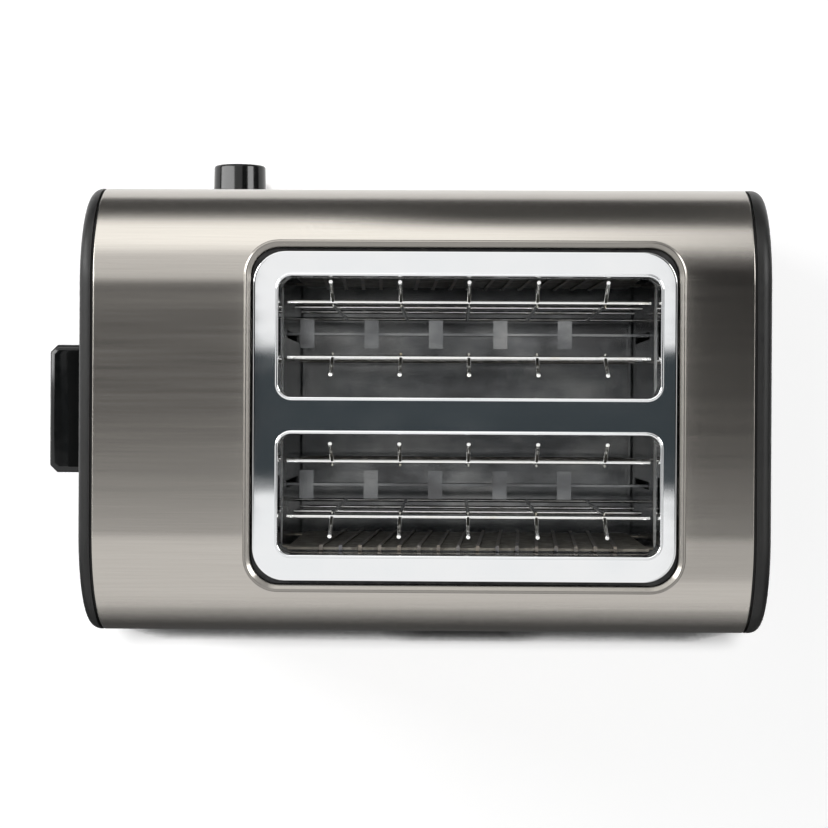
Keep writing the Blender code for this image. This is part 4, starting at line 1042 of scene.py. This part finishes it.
def slot_lip(x, y, length, width):
    """One slot's rolled lip and the skirt that hangs from it."""
    margin = SOFT_EDGE
    place = Matrix.Translation((x, y, BODY_TOP))
    bm = panel((length + 2 * margin, width + 2 * margin), SLOT_R + margin, CORNER_STEPS, place)
    face = only_face(bm)
    step_in(bm, face, margin)
    half = LIP_WALL / 2
    straight = LIP_RISE - half
    step_in(bm, face, HAIR, straight)
    follow(bm, face, round_corner((half, 0), half, 180, 0, BEAD_STEPS))
    face = pull(bm, face, (0, 0, -SKIRT_DEPTH - straight))
    remove(bm, [face])
    notch_low = BODY_TOP - NOTCH_DROP
    for end in (-1, 1):
        wall_x = x + end * (length / 2 - LIP_WALL)
        notch_skirt(bm, wall_x, y, notch_low)
    return bm


def notch_skirt(bm, wall_x, y, low):
    """Cuts the slit in the end wall of a skirt."""
    upright = [f for f in bm.faces if abs(f.normal.x) > SQUARE_ON]
    wall = [f for f in upright if abs(f.calc_center_median().x - wall_x) < SOFT_EDGE / 2]
    geom = list(wall)
    for face in wall:
        geom += face.edges[:] + face.verts[:]
    for point, normal in (
        ((0, 0, low), (0, 0, 1)),
        ((0, 0, low + NOTCH_HEIGHT), (0, 0, 1)),
        ((0, y - NOTCH_WIDTH / 2, 0), (0, 1, 0)),
        ((0, y + NOTCH_WIDTH / 2, 0), (0, 1, 0)),
    ):
        geom = bmesh.ops.bisect_plane(
            bm, geom=list(dict.fromkeys(geom)), dist=CUT_TOUCH, plane_co=point, plane_no=normal
        )["geom"]
    slit = []
    for face in geom:
        if isinstance(face, bmesh.types.BMFace):
            centre = face.calc_center_median()
            if abs(centre.y - y) < NOTCH_WIDTH / 2 and low < centre.z < low + NOTCH_HEIGHT:
                slit.append(face)
    remove(bm, slit)


def slot_liner(x, y, width, side):
    """The bright sheet across one end of a slot, below the skirt, with its lower corners rounded."""
    height = LINER_DROP - SKIRT_DEPTH + MM
    bm = panel((width - 2 * LIP_WALL, height), SLOT_R, CORNER_STEPS)
    middle = BODY_TOP - SKIRT_DEPTH + MM - height / 2
    stand = Matrix(((0, 0, -side, x), (side, 0, 0, y), (0, 1, 0, middle), (0, 0, 0, 1)))
    bmesh.ops.transform(bm, matrix=stand, verts=bm.verts)
    bm.normal_update()
    give_wall(bm, LINER_SHEET)
    end = "lever" if side > 0 else "plain"
    row = "front" if y < MIDDLE_Y else "rear"
    return make_piece(f"slot_liner_{row}_{end}", bm, "zinc_plate", "body", [], sharp_deg=40, look=SATIN_SHEET)


def bent_wire(route, radius, bend=WIRE_BEND, sides=WIRE_SIDES):
    """A round wire along a route of points, bent to a radius at each corner."""
    points = [Vector(point) for point in route]
    bm = bmesh.new()
    run = (points[1] - points[0]).normalized()
    place = Matrix.Translation(points[0]) @ run.to_track_quat("Z", "Y").to_matrix().to_4x4()
    ring = bmesh.ops.create_circle(bm, cap_ends=True, segments=sides, radius=radius, matrix=place)
    edges = list({e for v in ring["verts"] for e in v.link_edges})
    at = points[0]
    for index in range(1, len(points)):
        ahead = points[index] - points[index - 1]
        if index == len(points) - 1:
            edges = pull_edges(bm, edges, points[index] - at)
            break
        onward = points[index + 1] - points[index]
        angle = ahead.angle(onward)
        back = bend * math.tan(angle / 2)
        start = points[index] - ahead.normalized() * back
        edges = pull_edges(bm, edges, start - at)
        axis = ahead.cross(onward).normalized()
        centre = start + axis.cross(ahead.normalized()) * bend
        spun = bmesh.ops.spin(
            bm, geom=edges, cent=centre, axis=axis, angle=-angle, steps=BEND_STEPS, use_duplicate=False
        )["geom_last"]
        edges = only(spun, bmesh.types.BMEdge)
        at = points[index] + onward.normalized() * back
    bmesh.ops.contextual_create(bm, geom=edges)
    bmesh.ops.recalc_face_normals(bm, faces=bm.faces)
    return bm


def bread_guard(node, side):
    """A wire cage beside one slice: bent uprights welded to long wires, hung in the end plates."""
    low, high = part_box(node)
    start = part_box("chamber_end_plate_plain_side")[1].x
    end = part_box("chamber_end_plate_lever_side")[0].x
    hinge_y = low.y + WIRE_R if side > 0 else high.y - WIRE_R
    slice_y = hinge_y - side * GUARD_HINGE_OFFSET
    hinge_z = low.z + WIRE_R
    knee = (slice_y + side * GUARD_KNEE_OFFSET, BODY_TOP - GUARD_KNEE_DROP)
    rim = (slice_y + side * GUARD_RIM_OFFSET, high.z)
    pitch = (end - start - 2 * GUARD_EDGE) / (GUARD_WIRES - 1)
    wires = []
    for index in range(GUARD_WIRES):
        x = start + GUARD_EDGE + index * pitch
        wires.append(bent_wire([(x, hinge_y, hinge_z), (x, *knee), (x, *rim)], WIRE_R))
    wires.append(bent_wire([(low.x, hinge_y, hinge_z), (high.x, hinge_y, hinge_z)], WIRE_R))
    levels = [knee]
    for share in GUARD_LEVEL_SHARES:
        levels.append((hinge_y + share * (knee[0] - hinge_y), hinge_z + share * (knee[1] - hinge_z)))
    for y, z in levels:
        out = y + side * WIRE_R * WIRE_LAP_SHARE
        ends = (start + GUARD_END_GAP, end - GUARD_END_GAP)
        wires.append(bent_wire([(ends[0], out, z), (ends[1], out, z)], WIRE_R))
    return make_piece(node + "_wires", join(wires), "nickel_wire", node, [node], sharp_deg=50)


def lift_spring():
    """The spring from the bracket to the carriage, one helix of round wire."""
    low, high, centre = box_of("lift_spring")
    rise = high.z - low.z - 2 * SPRING_WIRE_R
    steps = SPRING_CURLS * CURL_STEPS
    bm = bmesh.new()
    place = Matrix.Translation((centre.x + SPRING_R, centre.y, low.z + SPRING_WIRE_R))
    place = place @ Matrix.Rotation(math.pi / 2, 4, "X")
    ring = bmesh.ops.create_circle(bm, segments=WIRE_SIDES, radius=SPRING_WIRE_R, matrix=place)
    edges = list({e for v in ring["verts"] for e in v.link_edges})
    bmesh.ops.spin(
        bm,
        geom=edges,
        cent=(centre.x, centre.y, 0),
        axis=(0, 0, 1),
        dvec=(0, 0, rise / steps),
        angle=2 * math.pi * SPRING_CURLS,
        steps=steps,
        use_duplicate=False,
    )
    bmesh.ops.holes_fill(bm, edges=bm.edges)
    bmesh.ops.recalc_face_normals(bm, faces=bm.faces)
    piece = make_piece("lift_spring_coil", bm, "nickel_wire", None, ["lift_spring"], sharp_deg=50)
    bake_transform(piece)
    return piece


def heater_winding(place):
    """One ribbon wound round a mica card, laid flat on both faces and bent over both edges."""
    node = f"heater_ribbon_{place}"
    card_low, card_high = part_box(f"heater_card_{place}")
    y = (card_low.y + card_high.y) / 2
    low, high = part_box(node)
    off = (high.y - low.y - RIBBON_THICKNESS) / 2
    bottom = low.z + RIBBON_THICKNESS / 2
    top = high.z - RIBBON_THICKNESS / 2
    start = low.x + RIBBON_WIDTH / 2
    pitch = (high.x - low.x - RIBBON_WIDTH) / RIBBON_LOOPS
    bend = off / 2
    bm = bmesh.new()
    first = [bm.verts.new((start + half * RIBBON_WIDTH / 2, y - off, bottom + bend)) for half in (-1, 1)]
    edges = [bm.edges.new(first)]
    at = Vector((start, y - off, bottom + bend))
    for loop in range(RIBBON_LOOPS):
        x = start + loop * pitch
        turns = [
            (x + pitch / 2, y - off, top - bend),
            (x + pitch / 2, y - off + bend, top),
            (x + pitch / 2, y + off - bend, top),
            (x + pitch / 2, y + off, top - bend),
            (x + pitch, y + off, bottom + bend),
            (x + pitch, y + off - bend, bottom),
            (x + pitch, y - off + bend, bottom),
            (x + pitch, y - off, bottom + bend),
        ]
        for point in turns:
            edges = pull_edges(bm, edges, Vector(point) - at)
            at = Vector(point)
    give_wall(bm, RIBBON_THICKNESS)
    return make_piece(node + "_winding", bm, "heater_ribbon", "body", [node], sharp_deg=40)


def lever_knob():
    """The push-down knob: a block with two cut corners and rounded upper and lower edges."""
    low, high, centre = box_of("lever_knob")
    bm = block(centre, high - low)
    upright = [e for e in bm.edges if abs(e.verts[0].co.z - e.verts[1].co.z) > SOFT_EDGE]
    corners = [e for e in upright if all(v.co.x > centre.x for v in e.verts)]
    bevel(bm, corners, LEVER_CORNER, "EDGES", 1)
    rims = []
    for edge in bm.edges:
        level = abs(edge.verts[0].co.z - edge.verts[1].co.z) < SOFT_EDGE
        inner = all(v.co.x < low.x + SOFT_EDGE for v in edge.verts)
        if level and not inner:
            rims.append(edge)
    bevel(bm, rims, LEVER_ROUND, "EDGES", EDGE_STEPS)
    bmesh.ops.recalc_face_normals(bm, faces=bm.faces)
    bm.normal_update()
    for face in [f for f in bm.faces if abs(f.normal.z) > LEVEL]:
        step_in(bm, face, SOFT_EDGE)
    piece = make_piece("lever_knob_shell", bm, "gloss_black", "carriage", ["lever_knob"], sharp_deg=40)
    soften(piece, LEVER_EDGE, 4)
    return piece


def facing_front(x, z, y):
    """Turns a form made about Z so that its height runs out to the front from y."""
    return Matrix.Translation((x, y, z)) @ Matrix.Rotation(math.pi / 2, 4, "X")


def browning_knob():
    """The round knob: a tapered drum, a soft edge, a dished face and a raised pointer bar."""
    low, high, centre = box_of("browning_knob")
    length = high.y - low.y
    tip = KNOB_R - KNOB_DRAFT
    profile = [(SHAFT_HOLE_R, 0), (KNOB_R - SOFT_EDGE, 0), (KNOB_R, SOFT_EDGE)]
    profile += round_corner((tip - KNOB_EDGE, length - KNOB_EDGE), KNOB_EDGE, 0, 90, EDGE_STEPS)
    profile += [(tip - KNOB_RIM, length)]
    profile += [(tip - KNOB_BEVEL, length - KNOB_DISH), (0, length - KNOB_DISH)]
    drum = turned(profile, facing_front(centre.x, centre.z, high.y), KNOB_SIDES)
    reach = tip - KNOB_BEVEL - MARK_LENGTH / 2
    sunk = low.y + KNOB_DISH * MARK_SINK_SHARE
    bar = block((centre.x, sunk, centre.z + reach), (MARK_WIDTH, KNOB_DISH, MARK_LENGTH))
    return make_piece(
        "browning_knob_drum",
        join([drum, bar]),
        "gloss_black",
        "browning_dial",
        ["browning_knob"],
        sharp_deg=30,
    )


def push_button(node):
    """A round button with a soft edge and a dished face."""
    low, _, centre = box_of(node)
    wall = WRAP_LOW.y
    proud = wall - low.y
    profile = [(BUTTON_R, -BUTTON_SKIRT)]
    profile += round_corner((BUTTON_R - BUTTON_EDGE, proud - BUTTON_EDGE), BUTTON_EDGE, 0, 90, BUTTON_STEPS)
    dish = BUTTON_R - 2 * BUTTON_EDGE
    for share in DISH_SHARES:
        profile.append((dish * share, proud - BUTTON_DISH * (1 - share**2)))
    bm = turned(profile, facing_front(centre.x, centre.z, wall))
    return make_piece(node + "_cap", bm, "gloss_black", node, [node], sharp_deg=40)


def foot(node):
    """A rubber foot: a tapered sole with a shallow dimple, a soft edge, and its stud in the pan."""
    low, high, centre = box_of(node)
    reach = (high.x - low.x) / 2
    sole = reach - FOOT_TAPER
    shoulder = high.z - FOOT_STUD
    profile = [(0, DIMPLE_DEPTH), (DIMPLE_R - DIMPLE_DEPTH, DIMPLE_DEPTH), (DIMPLE_R, 0)]
    profile += round_corner((sole - SOFT_EDGE, SOFT_EDGE), SOFT_EDGE, 270, 330, SMALL_STEPS)
    profile += [(reach, FOOT_TAPER + SOFT_EDGE)]
    profile += round_corner((reach - SOFT_EDGE, shoulder - SOFT_EDGE), SOFT_EDGE, 0, 90, SMALL_STEPS)
    profile += [(FOOT_STUD_R, shoulder), (FOOT_STUD_R, high.z), (0, high.z)]
    bm = turned(profile, Matrix.Translation((centre.x, centre.y, 0)))
    return make_piece(node + "_pad", bm, "rubber", "body", [node])


def base_screw(node):
    """A pan-head screw in the base: a domed head with a cross recess, and its shank."""
    low, high, centre = box_of(node)
    reach = (high.x - low.x) / 2
    profile = [(0, 0)]
    profile += round_corner((reach - SCREW_EDGE, SCREW_EDGE), SCREW_EDGE, 270, 360, BUTTON_STEPS)
    profile += [(reach, SCREW_HEAD), (SCREW_SHANK_R, SCREW_HEAD)]
    profile += [(SCREW_SHANK_R, high.z - low.z), (0, high.z - low.z)]
    bm = turned(profile, Matrix.Translation((centre.x, centre.y, low.z)), SCREW_SIDES)
    piece = make_piece(node + "_head", bm, "zinc_plate", "body", [node])
    for turn in (0, math.pi / 2):
        cutter = block((0, 0, 0), (RECESS_LENGTH, RECESS_WIDTH, 2 * RECESS_DEPTH))
        bmesh.ops.rotate(cutter, cent=(0, 0, 0), matrix=Matrix.Rotation(turn, 3, "Z"), verts=cutter.verts)
        bmesh.ops.translate(cutter, vec=(centre.x, centre.y, low.z), verts=cutter.verts)
        cut_away(piece, cutter)
    return piece


def cut_away(piece, cutter):
    """Takes the cutter's form out of a piece and leaves plain geometry behind."""
    mesh = mesh_of("cutter", cutter)
    tool = set_out("cutter", mesh)
    cut = piece.modifiers.new("cut", "BOOLEAN")
    cut.operation = "DIFFERENCE"
    cut.object = tool
    bpy.context.view_layer.update()
    shaped = bpy.data.meshes.new_from_object(piece.evaluated_get(bpy.context.evaluated_depsgraph_get()))
    piece.modifiers.clear()
    old = piece.data
    piece.data = shaped
    bpy.data.objects.remove(tool)
    bpy.data.meshes.remove(mesh)
    bpy.data.meshes.remove(old)


def cord_gland():
    """The rubber bush in the rear wall: a sleeve with a rounded outer lip and an open bore."""
    low, high, centre = box_of("cord_gland")
    reach = (high.x - low.x) / 2
    length = high.y - low.y
    inner = length - GLAND_LIP
    profile = [(GLAND_BORE_R, 0), (GLAND_R, 0), (GLAND_R, inner)]
    profile += round_corner((reach - SOFT_EDGE, inner + SOFT_EDGE), SOFT_EDGE, 270, 360, SMALL_STEPS)
    profile += round_corner((reach - GLAND_EDGE, length - GLAND_EDGE), GLAND_EDGE, 0, 90, EDGE_STEPS)
    profile += round_corner((GLAND_BORE_R + SOFT_EDGE, length - SOFT_EDGE), SOFT_EDGE, 90, 180, SMALL_STEPS)
    profile.append(profile[0])
    place = Matrix.Translation((centre.x, low.y, centre.z)) @ Matrix.Rotation(-math.pi / 2, 4, "X")
    return make_piece("cord_gland_bush", turned(profile, place), "rubber", "body", ["cord_gland"])


def stage():
    """The pale floor, and the cards round the object that only gloss sees."""
    bm = bmesh.new()
    bmesh.ops.create_grid(bm, x_segments=1, y_segments=1, size=FLOOR_REACH)
    mesh = mesh_of("floor", bm)
    mesh.materials.append(floor_paint())
    floor = set_out("floor", mesh)
    for card in CARDS:
        gloss_card(*card)


def seen_by_gloss(tree):
    """1 for camera, glossy and transmitted rays, 0 for the rays that light things."""
    path = add(tree, "LightPath")
    total = path.outputs["Is Camera Ray"]
    for name in ("Is Glossy Ray", "Is Transmission Ray"):
        total = compute(tree, "MAXIMUM", total, path.outputs[name])
    return total


def bare_material(name):
    """A new material with nothing in its tree."""
    made = bpy.data.materials.new(name)
    made.use_nodes = True
    made.node_tree.nodes.clear()
    return made, made.node_tree


def floor_paint():
    """Pale matt floor with a painted shadow, darker where the body keeps the front's light off it."""
    made, tree = bare_material("floor")
    toward_light = add(tree, "CombineXYZ")
    for axis in range(3):
        toward_light.inputs[axis].default_value = PAINTED_SHADOW_SIDE[axis]
    near = add(tree, "AmbientOcclusion")
    near.inputs["Distance"].default_value = PAINTED_SHADOW_REACH
    tree.links.new(toward_light.outputs[0], near.inputs["Normal"])
    # The occlusion, raised to a power, paints the body's shadow into the floor's colour and glow
    painted_shadow_factor = compute(tree, "POWER", near.outputs["AO"], PAINTED_SHADOW_POWER)
    tint = add(tree, "Mix")
    tint.data_type = "RGBA"
    tint.inputs["A"].default_value = (0, 0, 0, 1)
    tint.inputs["B"].default_value = (*FLOOR_TINT, 1)
    tree.links.new(painted_shadow_factor, tint.inputs["Factor"])
    matt = add(tree, "BsdfDiffuse")
    tree.links.new(tint.outputs["Result"], matt.inputs["Color"])
    place = add(tree, "TexCoord")
    away = add(tree, "VectorMath", "LENGTH")
    tree.links.new(place.outputs["Object"], away.inputs[0])
    whiteness = spread(
        tree, away.outputs["Value"], WHITE_FROM, WHITE_BY, FLOOR_GLOW, kind="SMOOTHSTEP"
    )
    lift = compute(tree, "MULTIPLY", seen_by_gloss(tree), whiteness)
    glow = add(tree, "Emission")
    tree.links.new(compute(tree, "MULTIPLY", lift, painted_shadow_factor), glow.inputs["Strength"])
    both = add(tree, "AddShader")
    tree.links.new(matt.outputs[0], both.inputs[0])
    tree.links.new(glow.outputs[0], both.inputs[1])
    out = add(tree, "OutputMaterial")
    tree.links.new(both.outputs[0], out.inputs["Surface"])
    return made


def feathered(tree, low, high, low_feather, high_feather):
    """1 in the middle of a card, falling to 0 over each feather's width at the card's sides."""
    place = add(tree, "TexCoord")
    parts = add(tree, "SeparateXYZ")
    tree.links.new(place.outputs["Object"], parts.inputs[0])
    total = None
    for axis in range(3):
        sides = (
            (low[axis], low[axis] + low_feather[axis]),
            (high[axis], high[axis] - high_feather[axis]),
        )
        for start, end in sides:
            if start == end:
                continue
            side = spread(tree, parts.outputs[axis], start, end, kind="SMOOTHSTEP")
            total = compute(tree, "MULTIPLY", total, side) if total else side
    return total


def gloss_card(name, low, high, colour, low_feather, high_feather):
    """A studio card with soft edges, between two corners, that only gloss sees."""
    low = Vector(low)
    high = Vector(high)
    mesh = mesh_of(name, block((low + high) / 2, high - low))
    card = set_out(name, mesh)
    made, tree = bare_material(name)
    glow = add(tree, "Emission")
    glow.inputs["Color"].default_value = (*colour, 1)
    clear = add(tree, "BsdfTransparent")
    mix = add(tree, "MixShader")
    out = add(tree, "OutputMaterial")
    tree.links.new(feathered(tree, low, high, low_feather, high_feather), mix.inputs["Fac"])
    tree.links.new(clear.outputs[0], mix.inputs[1])
    tree.links.new(glow.outputs[0], mix.inputs[2])
    tree.links.new(mix.outputs[0], out.inputs["Surface"])
    mesh.materials.append(made)
    card.visible_camera = False
    card.visible_diffuse = False
    card.visible_transmission = False
    card.visible_shadow = False


def sky():
    """White where it is seen or mirrored, softer where it lights."""
    world = bpy.data.worlds.new("studio")
    bpy.context.scene.world = world
    world.use_nodes = True
    tree = world.node_tree
    tree.nodes.clear()
    level = add(tree, "MapRange")
    level.inputs["To Min"].default_value = SKY_LIGHT
    level.inputs["To Max"].default_value = 1
    back = add(tree, "Background")
    back.inputs["Color"].default_value = (1, 1, 1, 1)
    out = add(tree, "OutputWorld")
    tree.links.new(seen_by_gloss(tree), level.inputs["Value"])
    tree.links.new(level.outputs["Result"], back.inputs["Strength"])
    tree.links.new(back.outputs[0], out.inputs["Surface"])


def softbox(name, place, aim, side, power):
    """A square lamp that lights surfaces and is never seen or mirrored."""
    light = bpy.data.lights.new(name, "AREA")
    light.shape = "RECTANGLE"
    light.size = side
    light.size_y = side
    light.energy = power
    made = set_out(name, light)
    made.location = place
    made.rotation_euler = (Vector(aim) - Vector(place)).to_track_quat("-Z", "Y").to_euler()
    made.visible_camera = False
    made.visible_glossy = False


def camera():
    """Straight above, a little off the middle, with the front at the top of the picture."""
    lens = bpy.data.cameras.new("camera")
    lens.lens = CAMERA_LENS
    lens.sensor_width = SENSOR_WIDTH
    made = set_out("camera", lens)
    made.location = CAMERA_PLACE
    made.rotation_euler = [math.radians(turn) for turn in CAMERA_TURN_DEG]
    bpy.context.scene.camera = made


finish_frame_nodes()
wrap()
collar()
collar_gap_painted_shade()
end_cap("end_cap_lever_side", 1)
end_cap("end_cap_plain_side", -1)
slot_plate()
for slot_x, slot_y, slot_length, slot_width in slot_boxes():
    for slot_side in (-1, 1):
        slot_liner(slot_x + slot_side * (slot_length / 2 + LINER_SHEET), slot_y, slot_width, slot_side)
for slot_name in ("front_slot", "rear_slot"):
    bread_guard(f"{slot_name}_front_guard", -1)
    bread_guard(f"{slot_name}_rear_guard", 1)
for card in ("front", "middle", "rear"):
    heater_winding(card)
lift_spring()
lever_knob()
browning_knob()
for button_name in ("cancel_button", "defrost_button", "reheat_button"):
    push_button(button_name)
for number in range(1, 5):
    foot(f"foot_{number}")
    base_screw(f"base_screw_{number}")
cord_gland()

stage()
sky()
for lamp in LAMPS:
    softbox(*lamp)
camera()
bpy.context.scene.view_settings.view_transform = "Standard"
